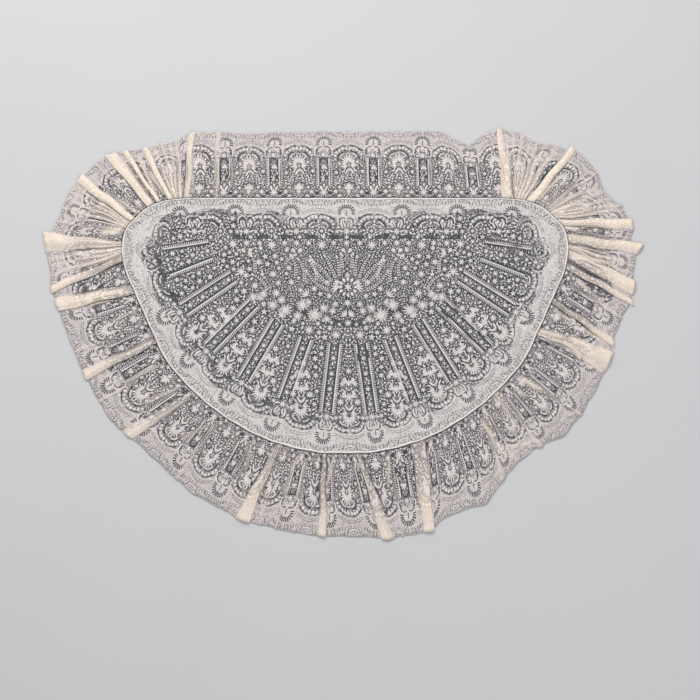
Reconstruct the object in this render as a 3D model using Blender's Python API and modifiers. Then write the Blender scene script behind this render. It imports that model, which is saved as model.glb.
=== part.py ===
"""Ivory lace mantilla laid flat: a half-moon centre panel with a gathered flounce sewn all round it.

The straight edge of the panel lies at +Y and its curve at -Y. Everything rests on the plane z = 0.
"""

import math
from collections import namedtuple

import bmesh
import bpy
from mathutils import Vector

# The cloth, in metres
WALL = 0.0011
SEAM_GAP = 0.0006
LAYER_STEP = 0.0017
FOLD_TURN = LAYER_STEP / 2
FOLD_INSET_SEAM = 0.0020
FOLD_INSET_HEM = 0.0040
RISE_SEAM = 0.0030
RISE_HEM = 0.0050
SEAM_LIFT_SHARE = 0.3

# The rolled edge of the panel, in metres
ROLL_HEIGHT = 0.0022
ROLL_WIDTH = 0.0035

# How finely the cloth is divided, in metres and shares of the flounce's depth
LONGEST_HEM_STEP = 0.042
LONGEST_SEAM_STEP = 0.021
RIM_STEP = 0.0009
DEPTH_SHARES = (0.0, 0.25, 0.55, 0.8, 1.0)
OUTLINE_SPAN_STEPS = 12

# The middle that the flounce's rows are measured from, in metres
MIDDLE = Vector((0.0045, 0.0385, 0.0))

MM = 0.001

# Right half of the panel's outline from the middle of its straight edge to the middle of its curve. The
# distances are millimetres from the panel's axis and from the middle above.
OutlinePoint = namedtuple("OutlinePoint", "x y")
PANEL_HALF = (
    OutlinePoint(0, 324),
    OutlinePoint(160, 324),
    OutlinePoint(320, 324),
    OutlinePoint(410, 324),
    OutlinePoint(457, 320),
    OutlinePoint(494, 313),
    OutlinePoint(526, 298),
    OutlinePoint(552, 276),
    OutlinePoint(574, 253),
    OutlinePoint(588, 226),
    OutlinePoint(592, 195),
    OutlinePoint(588, 149),
    OutlinePoint(572, 103),
    OutlinePoint(552, 59),
    OutlinePoint(530, 9),
    OutlinePoint(505, -46),
    OutlinePoint(476, -105),
    OutlinePoint(415, -177),
    OutlinePoint(338, -244),
    OutlinePoint(244, -301),
    OutlinePoint(156, -334),
    OutlinePoint(66, -352),
    OutlinePoint(0, -353),
)

# The flounce, a row for each fold, join or turn of its hem, anticlockwise from the top right. Angles are in
# degrees about the middle, everything else in millimetres. A fold named lap lies in three layers with its
# sharp edge to the side named; a ridge is one soft wave; at a join one length of lace lies over the next.
Row = namedtuple("Row", "name kind seam_deg hem_deg hem seam_wide hem_wide lift reach")
FLOUNCE = (
    Row("flounce_top", "join_end_over", 36.9, 51.1, 648, 20, 14, 2, 4),
    Row("hem_falls", "plain", 39.0, 53.2, 616, 0, 0, 1, 0),
    Row("hem_notch", "plain", 42.2, 54.7, 566, 0, 0, 0, 0),
    Row("folded_corner", "plain", 46.2, 59.3, 561, 0, 0, 2, 0),
    Row("corner_end", "plain", 50.4, 63.5, 559, 0, 0, 1, 0),
    Row("top_right", "plain", 65.7, 74.6, 519, 0, 0, 0, 0),
    Row("top_middle", "plain", 90.0, 90.0, 500, 0, 0, 0, 0),
    Row("top_left", "plain", 114.4, 105.7, 519, 0, 0, 0, 0),
    Row("top_far_left", "plain", 129.6, 118.2, 561, 0, 0, 0, 0),
    Row("low_peak", "ridge", 136.5, 123.9, 600, 10, 26, 4, 2),
    Row("flounce_top_left", "join_start_over", 142.3, 129.2, 640, 8, 18, 3, 3),
    Row("thin_ridge", "ridge", 143.7, 133.4, 653, 5, 12, 4, 0),
    Row("gather_crease", "ridge", 144.45, 136.2, 676, 4, 10, 3, 0),
    Row("first_gather", "lap_clockwise", 145.3, 139.4, 699, 6, 13, 2, 1),
    Row("second_gather", "lap_clockwise", 147.6, 142.4, 734, 6, 12, 2, 3),
    Row("broad_gather", "lap_anticlockwise", 149.5, 144.8, 761, 14, 26, 3, 4),
    Row("corner_facet", "ridge", 151.6, 148.0, 781, 5, 12, 4, 0),
    Row("corner_spike", "lap_clockwise", 154.6, 151.8, 795, 12, 24, 3, 7),
    Row("corner_scallop", "plain", 156.1, 155.5, 807, 0, 0, 3, 0),
    Row("above_tongue", "ridge", 157.9, 161.2, 808, 10, 12, 4, 0),
    Row("flounce_left", "join_start_over", 161.1, 165.4, 812, 8, 50, 6, 20),
    Row("below_tongue", "plain", 162.9, 169.7, 797, 0, 0, 3, 0),
    Row("left_gather", "lap_anticlockwise", 164.5, 174.2, 782, 14, 18, 4, 2),
    Row("left_band", "lap_anticlockwise", 171.8, 177.0, 765, 20, 34, 4, 2),
    Row("left_facet", "plain", 176.2, 182.0, 742, 0, 0, 2, 0),
    Row("left_thin_ridge", "ridge", 181.1, 186.8, 724, 5, 12, 4, 0),
    Row("left_fan", "lap_anticlockwise", 186.3, 192.1, 706, 10, 26, 4, 4),
    Row("lower_left_ridge", "ridge", 193.2, 198.4, 688, 5, 14, 4, 0),
    Row("lower_left_scallop", "plain", 198.7, 202.8, 677, 0, 0, 1, 0),
    Row("lower_left_spike", "plain", 202.6, 205.6, 668, 0, 0, 0, 0),
    Row("flounce_bottom_left", "join_end_over", 206.0, 208.0, 652, 16, 32, 4, 3),
    Row("long_facet_start", "plain", 212.8, 216.9, 623, 0, 0, 2, 0),
    Row("long_crease", "ridge", 218.3, 223.2, 616, 10, 24, 4, 0),
    Row("long_facet_end", "plain", 223.7, 228.9, 613, 0, 0, 1, 0),
    Row("before_band", "ridge", 232.6, 237.6, 598, 5, 12, 4, 0),
    Row("bottom_left_band", "lap_anticlockwise", 242.0, 242.9, 596, 8, 36, 4, 4),
    Row("thin_crease", "ridge", 244.9, 247.2, 588, 5, 12, 3, 0),
    Row("bottom_first_ridge", "ridge", 250.9, 251.6, 583, 6, 14, 4, 0),
    Row("bottom_second_ridge", "ridge", 255.0, 256.4, 580, 6, 14, 4, 0),
    Row("bottom_fold", "lap_anticlockwise", 261.2, 264.0, 576, 8, 18, 3, 3),
    Row("bottom_middle", "plain", 268.7, 273.4, 575, 0, 0, 1, 0),
    Row("flounce_bottom_right", "join_start_over", 275.6, 281.0, 589, 8, 34, 4, 6),
    Row("between_bands", "ridge", 288.2, 284.9, 593, 6, 12, 4, 0),
    Row("bottom_right_band", "lap_anticlockwise", 300.9, 291.8, 602, 40, 24, 3, 5),
    Row("after_band", "plain", 309.9, 295.6, 588, 0, 0, 1, 0),
    Row("lower_right_facet", "plain", 316.1, 301.6, 592, 0, 0, 1, 0),
    Row("lower_right_corner", "plain", 321.7, 307.8, 615, 0, 0, 2, 0),
    Row("folded_hem", "ridge", 327.7, 314.6, 597, 10, 40, 6, 0),
    Row("lower_right_notch", "plain", 331.3, 320.4, 595, 0, 0, 1, 0),
    Row("crossing_ridge", "ridge", 335.0, 327.1, 616, 8, 30, 5, 4),
    Row("right_facet_start", "plain", 338.7, 331.7, 654, 0, 0, 3, 0),
    Row("right_facet", "ridge", 343.0, 338.0, 675, 6, 12, 3, 0),
    Row("right_facet_end", "plain", 348.5, 345.4, 692, 0, 0, 2, 0),
    Row("flounce_right", "join_end_over", 355.8, 351.2, 708, 10, 52, 5, 6),
    Row("right_pleat", "lap_clockwise", 365.3, 355.0, 713, 9, 18, 3, 3),
    Row("right_hem", "plain", 368.0, 358.0, 722, 0, 0, 1, 0),
    Row("right_crease", "ridge", 370.6, 360.4, 734, 6, 12, 4, 0),
    Row("under_band_pleat", "lap_clockwise", 373.7, 363.3, 757, 12, 18, 3, 14),
    Row("right_band", "lap_anticlockwise", 376.5, 366.4, 768, 22, 35, 5, 6),
    Row("above_band", "plain", 378.3, 370.6, 779, 0, 0, 2, 0),
    Row("right_spike", "lap_anticlockwise", 380.2, 373.6, 794, 20, 20, 4, 22),
    Row("between_spikes", "ridge", 382.3, 375.9, 788, 5, 8, 4, 0),
    Row("upper_right_pleat", "lap_anticlockwise", 384.5, 378.5, 800, 16, 26, 4, 7),
    Row("upper_flap", "ridge", 386.2, 382.5, 790, 6, 16, 5, 6),
    Row("upper_notch", "plain", 387.2, 386.1, 768, 0, 0, 1, 0),
    Row("upper_crease", "ridge", 389.0, 390.3, 774, 6, 14, 5, 0),
    Row("upper_facet", "plain", 391.0, 394.1, 770, 0, 0, 2, 0),
    Row("upper_spike", "lap_anticlockwise", 392.7, 397.0, 750, 14, 18, 3, 12),
    Row("upper_scallop", "plain", 393.9, 399.8, 721, 0, 0, 2, 0),
    Row("last_ridge", "ridge", 394.9, 402.7, 693, 6, 14, 5, 3),
    Row("before_top", "plain", 395.5, 407.2, 676, 0, 0, 2, 0),
)

PANEL_COLOUR = (0.60, 0.575, 0.55, 1.0)
FLOUNCE_COLOUR = (0.68, 0.60, 0.55, 1.0)
LACE_ROUGHNESS = 0.9

# One thread of cloth from the seam to the hem: its two ends, without heights, and its height at each end
Column = namedtuple("Column", "seam_deg hem seam_height hem_height")


def clear_scene():
    for obj in list(bpy.data.objects):
        bpy.data.objects.remove(obj, do_unlink=True)


def curve_point(before, start, end, after, share):
    """Point on a smooth curve through start and end."""
    square = share * share
    cube = square * share
    return 0.5 * (
        2 * start
        + (end - before) * share
        + (2 * before - 5 * start + 4 * end - after) * square
        + (3 * start - before - 3 * end + after) * cube
    )


def panel_outline():
    """Angle in degrees and radius in metres round the panel's edge, in rising order of angle."""
    right = [Vector((point.x * MM, point.y * MM)) for point in PANEL_HALF]
    left = [Vector((-point.x, point.y)) for point in reversed(right[1:-1])]
    corners = right + left
    count = len(corners)
    found = []
    for index in range(count):
        four = [corners[(index + step) % count] for step in (-1, 0, 1, 2)]
        for step in range(OUTLINE_SPAN_STEPS):
            point = curve_point(*four, step / OUTLINE_SPAN_STEPS)
            found.append((math.degrees(math.atan2(point.y, point.x)) % 360, point.length))
    return sorted(found)


OUTLINE = panel_outline()


def edge_radius(degrees):
    """Distance from the middle to the panel's edge in one direction."""
    angle = degrees % 360
    last = OUTLINE[-1]
    before = (last[0] - 360, last[1])
    for here in OUTLINE + [(OUTLINE[0][0] + 360, OUTLINE[0][1])]:
        if here[0] >= angle:
            share = (angle - before[0]) / (here[0] - before[0])
            return before[1] + share * (here[1] - before[1])
        before = here
    return last[1]


def direction(degrees):
    return Vector((math.cos(math.radians(degrees)), math.sin(math.radians(degrees)), 0.0))


def hem_point(row):
    return MIDDLE + row.hem * MM * direction(row.hem_deg)


def hem_tangent(index):
    """Direction along the hem at a row, anticlockwise."""
    after = hem_point(FLOUNCE[(index + 1) % len(FLOUNCE)])
    return (after - hem_point(FLOUNCE[index - 1])).normalized()


def placed(index, share, seam_shift=0.0, hem_shift=0.0, layer=0.0, lift=0.0, reach=0.0):
    """A column beside a row. The share runs from -1 to 1 over the fold's width, and the shifts are metres."""
    row = FLOUNCE[index]
    seam_radius = edge_radius(row.seam_deg)
    seam_move = share * row.seam_wide * MM / 2 + seam_shift
    hem_move = share * row.hem_wide * MM / 2 + hem_shift
    seam_deg = row.seam_deg + math.degrees(seam_move / seam_radius)
    hem = hem_point(row) + hem_move * hem_tangent(index) + reach * row.reach * MM * direction(row.hem_deg)
    height = WALL / 2 + layer * LAYER_STEP
    rise = lift * row.lift * MM
    return Column(seam_deg, hem, height + SEAM_LIFT_SHARE * rise, height + rise)


def plain_columns(index):
    return [placed(index, 0, lift=1)]


def ridge_columns(index):
    return [
        placed(index, -1),
        placed(index, -0.5, lift=0.5, reach=0.5),
        placed(index, 0, lift=1, reach=1),
        placed(index, 0.5, lift=0.5, reach=0.5),
        placed(index, 1),
    ]


def lap_columns(index):
    """Three layers, the sharp edge anticlockwise or, mirrored, clockwise."""
    side = 1 if FLOUNCE[index].kind == "lap_anticlockwise" else -1
    inner = (side * FOLD_INSET_SEAM, side * FOLD_INSET_HEM)
    turned = (side * (FOLD_INSET_SEAM - FOLD_TURN), side * (FOLD_INSET_HEM - FOLD_TURN))
    columns = [
        placed(index, -side, -side * RISE_SEAM, -side * RISE_HEM),
        placed(index, -side, layer=2, reach=0.3),
        placed(index, 0, layer=2, lift=1, reach=0.6),
        placed(index, side, layer=2, reach=1),
        placed(index, side, side * FOLD_TURN, side * FOLD_TURN, layer=1.5, reach=1),
        placed(index, side, layer=1, reach=1),
        placed(index, -side, *inner, layer=1, reach=0),
        placed(index, -side, *turned, layer=0.5, reach=0),
        placed(index, -side, *inner, layer=0, reach=0),
        placed(index, side, side * FOLD_TURN, side * FOLD_TURN, layer=0, reach=0),
    ]
    return columns[::side]


def over_columns(index, side):
    """The end of a length that lies over its neighbour, from its foot to its own edge on the side given."""
    columns = [
        placed(index, -side, -side * RISE_SEAM, -side * RISE_HEM),
        placed(index, -side, layer=1, reach=0.3),
        placed(index, 0, layer=1, lift=1, reach=0.6),
        placed(index, side, layer=1, reach=1),
    ]
    return columns[::side]


def under_columns(index, side):
    """The end of a length that lies under its neighbour, away from the neighbour's own edge."""
    columns = [placed(index, -side / 2), placed(index, 0), placed(index, side)]
    return columns[::side]


def columns_of_join(index):
    """The last columns of one length and the first of the next."""
    if FLOUNCE[index].kind == "join_end_over":
        return over_columns(index, 1), under_columns(index, 1)
    return under_columns(index, -1), over_columns(index, -1)


def middle_columns(start, end):
    """Columns between two rows, where the hem runs straight and the height eases from one to the other."""
    radius = edge_radius(start.seam_deg)
    seam_length = math.radians(end.seam_deg - start.seam_deg) * radius
    hem_length = (end.hem - start.hem).length
    count = math.ceil(max(hem_length / LONGEST_HEM_STEP, seam_length / LONGEST_SEAM_STEP))
    found = []
    for step in range(1, count):
        share = step / count
        eased = share * share * (3 - 2 * share)
        found.append(
            Column(
                start.seam_deg + share * (end.seam_deg - start.seam_deg),
                start.hem.lerp(end.hem, share),
                start.seam_height + eased * (end.seam_height - start.seam_height),
                start.hem_height + eased * (end.hem_height - start.hem_height),
            )
        )
    return found


def turned_once(column):
    return column._replace(seam_deg=column.seam_deg + 360)


def flounce_lengths():
    """The columns of each length of the flounce, by name."""
    makers = {
        "plain": plain_columns,
        "ridge": ridge_columns,
        "lap_clockwise": lap_columns,
        "lap_anticlockwise": lap_columns,
    }
    lengths = {}
    name = None
    for index, row in enumerate(FLOUNCE):
        if row.kind.startswith("join"):
            ending, beginning = columns_of_join(index)
            if name:
                lengths[name] += middle_columns(lengths[name][-1], ending[0]) + ending
            else:
                closing = [turned_once(column) for column in ending]
            name = row.name
            lengths[name] = beginning
        else:
            here = makers[row.kind](index)
            lengths[name] += middle_columns(lengths[name][-1], here[0]) + here
    lengths[name] += middle_columns(lengths[name][-1], closing[0]) + closing
    return lengths


def seam_point(seam_deg, inset=-SEAM_GAP):
    return MIDDLE + (edge_radius(seam_deg) - inset) * direction(seam_deg)


def column_points(column):
    seam = seam_point(column.seam_deg)
    points = []
    for share in DEPTH_SHARES:
        point = seam.lerp(column.hem, share)
        point.z = column.seam_height + share * (column.hem_height - column.seam_height)
        points.append(point)
    return points


def lace_material(name, colour):
    material = bpy.data.materials.new(name)
    material.use_nodes = True
    shader = material.node_tree.nodes["Principled BSDF"]
    shader.inputs["Base Color"].default_value = colour
    shader.inputs["Roughness"].default_value = LACE_ROUGHNESS
    shader.inputs["Metallic"].default_value = 0.0
    return material


def add_object(name, shape, colour, collection):
    mesh = bpy.data.meshes.new(name)
    shape.to_mesh(mesh)
    shape.free()
    mesh.shade_smooth()
    mesh.materials.append(lace_material(name + "_lace", colour))
    obj = bpy.data.objects.new(name, mesh)
    collection.objects.link(obj)
    return obj


def build_length(name, columns, collection):
    """One length of the flounce: an open sheet through its columns, given its wall by Solidify."""
    shape = bmesh.new()
    grid = [[shape.verts.new(point) for point in column_points(column)] for column in columns]
    for first, second in zip(grid, grid[1:]):
        for depth in range(len(DEPTH_SHARES) - 1):
            shape.faces.new((first[depth], first[depth + 1], second[depth + 1], second[depth]))
    obj = add_object(name, shape, FLOUNCE_COLOUR, collection)
    wall = obj.modifiers.new("wall", "SOLIDIFY")
    wall.thickness = WALL
    wall.offset = 0.0
    wall.use_even_offset = True
    wall.use_quality_normals = True
    return obj


def rim_angles(lengths):
    """The panel's edge turns where the flounce's seam does, so that the two run parallel."""
    angles = sorted(column.seam_deg % 360 for columns in lengths.values() for column in columns)
    kept = angles[:1]
    for angle in angles[1:]:
        if math.radians(angle - kept[-1]) * edge_radius(angle) > RIM_STEP:
            kept.append(angle)
    return kept


def build_panel(lengths, collection):
    """The half-moon, flat underneath, with a low roll along its edge."""
    shape = bmesh.new()
    angles = rim_angles(lengths)
    loops = []
    for inset, height in ((0, 0), (0, ROLL_HEIGHT), (ROLL_WIDTH / 2, ROLL_HEIGHT), (ROLL_WIDTH, WALL)):
        rise = Vector((0.0, 0.0, height))
        loops.append([shape.verts.new(seam_point(angle, inset) + rise) for angle in angles])
    for lower, upper in zip(loops, loops[1:]):
        for index in range(len(angles)):
            shape.faces.new((lower[index - 1], lower[index], upper[index], upper[index - 1]))
    shape.faces.new(reversed(loops[0]))
    shape.faces.new(loops[-1])
    bmesh.ops.recalc_face_normals(shape, faces=shape.faces)
    return add_object("centre_panel", shape, PANEL_COLOUR, collection)


def main():
    clear_scene()
    collection = bpy.data.collections.new("lace_mantilla")
    bpy.context.scene.collection.children.link(collection)
    lengths = flounce_lengths()
    for name, columns in lengths.items():
        build_length(name, columns, collection)
    build_panel(lengths, collection)


main()
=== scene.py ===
"""Looks of the ivory lace mantilla laid flat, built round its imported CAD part.

The lace is charted in steps of 2.653 mm of cloth. Each motif is drawn in chart steps as small raised
shapes of thread, or as flat dark openings, and laid on the cloth of the panel and of the flounce.
"""

import math
import random
from collections import namedtuple

import bpy
import numpy as np
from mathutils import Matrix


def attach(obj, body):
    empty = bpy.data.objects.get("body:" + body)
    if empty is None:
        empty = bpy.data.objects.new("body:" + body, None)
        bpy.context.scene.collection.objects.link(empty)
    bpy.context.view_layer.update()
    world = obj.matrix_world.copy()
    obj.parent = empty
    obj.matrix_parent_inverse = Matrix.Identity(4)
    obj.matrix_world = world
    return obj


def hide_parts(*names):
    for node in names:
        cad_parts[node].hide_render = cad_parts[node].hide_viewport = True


MM = 0.001

# The cloth and its layers, in metres, as the CAD part has them, then the share of a fold's lift at the
# seam, the steps in each span of the outline, and the middle from which places are measured
WALL = 0.0011
SEAM_GAP = 0.0006
LAYER_STEP = 0.0017
FOLD_TURN = LAYER_STEP / 2
FOLD_INSET_SEAM = 0.0020
FOLD_INSET_HEM = 0.0040
RISE_SEAM = 0.0030
RISE_HEM = 0.0050
SEAM_LIFT_SHARE = 0.3
OUTLINE_SPAN_STEPS = 12
MIDDLE = np.array((0.0045, 0.0385))

# The net sheets: how thick they are, how finely they are cut, the height of their slow unevenness, and how
# far the panel's lies over its wall and in from its edge, in metres. The panel's rings end near its middle
# and are closer together near its edge.
NET_THICKNESS = 0.0005
COLUMN_STEP = 0.0045
DEPTH_ROWS = 24
PANEL_RING_STEPS = 26
PANEL_RINGS_END = 0.985
PANEL_RINGS_POWER = 1.3
PANEL_SPOKE_STEPS = 420
UNDULATION = 0.0007
PANEL_LIFT = 0.0002
PANEL_INSET = 0.0004

# Gathers of the flounce: how many columns to each side they are judged over, how much longer the hem is than
# the seam where they start and where they are full, the pitch at the hem and the height of their small
# pleats and how far a fold sways from a straight line, in metres, and how creamy they are
FULLNESS_REACH = 9
GATHER_START = 1.9
GATHER_FULL = 3.2
PLEAT_PITCH = 0.024
PLEAT_HEIGHT = 0.0018
SWAY = 0.0024
GATHER_CREAM = 0.84
GATHER_CREAM_HEM = 0.30

# One step of the lace's chart, in metres. In those steps: its repeat, its depth from the hem to the shells
# and from there to the seam, and the panel's deeper edge. Then half the depth of a scallop, in metres.
STEP = 0.002653
REPEAT = 50.0
HEM_TO_SHELL = 9.5
SHELL_TO_SEAM = 57.5
DEEP_HEM_TO_SHELL = 15.5
SCALLOP = 0.0011

# Share of the way from the hem to the seam at which the shells lie, at the top of the flounce and lower
# down, and how far above the middle the first starts to turn into the second, in metres
SHALLOW_SHELL_SHARE = 0.142
DEEP_SHELL_SHARE = 0.185
TURN_OF_DEPTH = 0.35

# The cord rolled along the panel's edge: its size, its height over the wall and how far it waves, in
# metres, and how much it swells, as a share of its size, and how often in a chart step, as an angle
ROLL_RADIUS = 0.0019
ROLL_LIFT = 0.0010
ROLL_WAVE = 0.0008
ROLL_SWELL = 0.12
ROLL_SWELLS = 5.3
ROLL_STEPS = 1300
ROLL_SIDES = 8

# How the ground between the motifs is filled, pass by pass: the kind of shape, tries for each square step,
# the smallest and largest size and the gap kept, in steps. Shapes are looked up in cells of some steps. The
# panel's filling reaches so far to each side of its axis, down and up.
FLOUNCE_FILLER = (
    ("flower", 0.2, 2.0, 3.0, 0.15),
    ("leaf", 2.0, 0.8, 1.4, 0.1),
    ("dot", 5.0, 0.3, 0.6, 0.15),
)
PANEL_FILLER = (
    ("flower", 0.09, 2.4, 4.0, 0.2),
    ("leaf", 1.8, 0.9, 1.9, 0.15),
    ("dot", 1.5, 0.32, 0.6, 0.25),
)
MEDALLION_FILLER = (
    ("flower", 0.02, 2.4, 3.4, 0.3),
    ("leaf", 0.5, 0.7, 1.2, 0.3),
    ("dot", 2.6, 0.35, 0.7, 0.28),
)
CELL = 6.0
PANEL_REACH = (226.0, -125.0, 108.0)

# Where the arches of the panel's curved side point to, in steps from the middle
ARCH_FOCUS = (-40.0, 60.0)

# Creases laid one by one: ends in chart steps from the middle, width in steps, height in millimetres, and how
# creamy the crest is. A trough has a height below nothing. Each is narrower on its left side than on its
# right, in shares of its width, and eases in and out near its ends, in shares of its length.
CREASE_SIDES = (0.7, 1.2)
CREASE_START = (-0.08, 0.2)
CREASE_END = (-1.08, -0.7)
Crease = namedtuple("Crease", "x y end_x end_y width height cream")
CREASES = [Crease(*row) for row in (
    (-85, 161, -121, 137, 1.6, 1.4, 0.3), (-153, 124, -153, 182, 1.3, 1.5, 0.6),
    (-164, 121, -167, 152, 1.3, 1.4, 0.7), (-169, 123, -184, 148, 1.3, 1.4, 0.7),
    (-176, 121, -199, 150, 1.4, 1.3, 0.6), (-196, 112, -219, 141, 1.5, -1.2, 0.0),
    (-204, 104, -232, 124, 1.6, 1.2, 0.6), (-214, 95, -240, 108, 1.5, 1.2, 0.6),
    (-222, 90, -246, 86, 3.2, 1.4, 0.9), (-224, 80, -252, 83, 1.4, -1.4, 0.0),
    (-222, 66, -262, 52, 1.6, 1.2, 0.5), (-218, 48, -268, 44, 1.4, -1.0, 0.0),
    (-211, 31, -252, 20, 1.4, 1.0, 0.5), (-204, 12, -244, -8, 1.5, 1.0, 0.4),
    (-182, -44, -224, -64, 1.5, 1.3, 0.5), (-162, -66, -208, -87, 1.7, 1.4, 0.5),
    (-146, -84, -172, -110, 1.5, -1.2, 0.0), (-130, -102, -168, -122, 1.7, 1.3, 0.4),
    (-91, -114, -101, -156, 1.4, 1.2, 0.4), (-75, -178, -87, -200, 2.2, 1.2, 0.4),
    (-45, -133, -55, -154, 1.4, 1.4, 0.6), (-55, -154, -61, -176, 1.4, 1.2, 0.4),
    (-38, -136, -52, -192, 1.4, 1.2, 0.4), (-10, -133, -20, -172, 1.4, 1.3, 0.6),
    (44, -133, 44, -170, 1.4, 1.3, 0.6), (75, -128, 79, -158, 1.6, -1.0, 0.0),
    (136, -99, 150, -120, 2.0, 1.6, 0.8), (150, -120, 158, -132, 2.0, 1.5, 0.7),
    (158, -132, 176, -140, 1.8, 1.3, 0.5), (158, -129, 192, -120, 1.7, 1.2, 0.6),
    (173, -56, 201, -72, 2.4, 1.5, 0.8), (164, -62, 180, -76, 1.7, 1.3, 0.6),
    (186, -38, 214, -55, 1.6, -1.1, 0.0), (207, 12, 238, -9, 1.7, 1.5, 0.6),
    (238, -9, 268, -27, 1.7, 1.3, 0.5), (230, 42, 248, 26, 1.7, 1.4, 0.7),
    (248, 26, 263, 13, 1.5, 1.2, 0.4), (217, 94, 236, 91, 1.8, 1.2, 0.8),
    (210, 106, 235, 120, 1.7, 1.4, 0.8), (235, 120, 249, 132, 1.5, 1.2, 0.5),
    (199, 112, 248, 134, 1.6, 1.3, 0.6), (192, 119, 217, 148, 1.6, 1.4, 0.6),
    (179, 126, 192, 168, 1.8, 1.5, 0.8), (170, 124, 178, 160, 1.3, -1.1, 0.0),
    (164, 124, 161, 175, 2.6, 1.5, 0.9), (143, 85, 158, 79, 1.8, 0.9, 0.1),
    (158, 79, 188, 60, 2.0, 1.0, 0.1), (150, 62, 186, 48, 1.8, 0.8, 0.0),
    (171, -3, 191, -13, 2.0, 0.9, 0.5), (222, 67, 262, 57, 5.0, 0.5, 0.85),
    (222, 84, 258, 79, 3.0, 0.6, 0.7), (192, -10, 224, -18, 3.0, 1.0, 0.8),
    (222, -17, 252, -29, 3.6, 1.2, 1.0), (250, -28, 270, -34, 3.4, 1.1, 0.9),
    (216, -20, 240, -38, 3.2, 1.0, 0.9), (238, -37, 260, -52, 2.6, 1.0, 0.7),
    (-216, 30, -290, 14, 3.4, 0.3, 0.9), (-190, -20, -230, -41, 3.0, 0.8, 0.6),
    (-226, 23, -284, 9, 2.6, 0.3, 0.85), (-199, 128, -226, 146, 2.2, 0.5, 0.6),
    (-190, 126, -208, 166, 2.0, 0.5, 0.65), (-199, 122, -226, 164, 2.4, 0.5, 0.7),
    (189, 118, 206, 146, 2.2, 0.5, 0.6),
)]

# Heights above the cloth of raised thread, of its balls and hearts, and of openings, in metres
THREAD_FOOT = 0.00006
THREAD_TOP = 0.00042
BALL_TOP = THREAD_TOP * 1.3
OPENING_FOOT = 0.00030
OPENING_TOP = 0.00034

# The camera looks straight down, as the photograph was taken. The sensor's width is in millimetres.
CAMERA_HEIGHT = 7.0
CAMERA_X = 0.0175
CAMERA_Y = -0.0411
PHOTO_WIDTH = 1.857
SENSOR = 36.0

# The floor, and the lights: name, place, size, power and tint
FLOOR_SIZE = 12.0
FLOOR_HEIGHT = -0.0005
LIGHTS = (
    ("key", (-0.9, 3.0, 3.4), 2.8, 150.0, (1.0, 0.985, 0.97)),
    ("fill", (1.8, -2.4, 3.6), 2.8, 40.0, (0.97, 0.98, 1.0)),
)
SKY = (0.95, 0.96, 1.0, 1.0)
SKY_STRENGTH = 0.48

# Colours, linear
SLATE = (0.038, 0.041, 0.053, 1.0)
PANEL_NET = (0.50, 0.475, 0.46, 1.0)
PANEL_THREAD = (0.76, 0.72, 0.69, 1.0)
EDGE_CORD = (0.95, 0.90, 0.86, 1.0)
FLOUNCE_NET = (0.50, 0.46, 0.45, 1.0)
FLOUNCE_BAND = (0.71, 0.65, 0.625, 1.0)
FLOUNCE_THREAD = (0.81, 0.745, 0.715, 1.0)
CREAM = (0.97, 0.85, 0.72, 1.0)
CREAM_GROUND = (0.95, 0.815, 0.68, 1.0)
FOLD_GRAIN = (0.76, 0.64, 0.53, 1.0)
# Painted shade: brown of the thin dark lines painted along the creamy folds, for the shade in their creases
PAINTED_CREASE_SHADE = (0.54, 0.45, 0.37, 1.0)
OPENING = (0.042, 0.046, 0.058, 1.0)
FLOOR = (0.62, 0.62, 0.62, 1.0)

# Right half of the panel's outline, in millimetres from its axis and from the middle
PANEL_HALF = (
    (0, 324), (160, 324), (320, 324), (410, 324), (457, 320), (494, 313), (526, 298), (552, 276),
    (574, 253), (588, 226), (592, 195), (588, 149), (572, 103), (552, 59), (530, 9), (505, -46),
    (476, -105), (415, -177), (338, -244), (244, -301), (156, -334), (66, -352), (0, -353),
)

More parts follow.
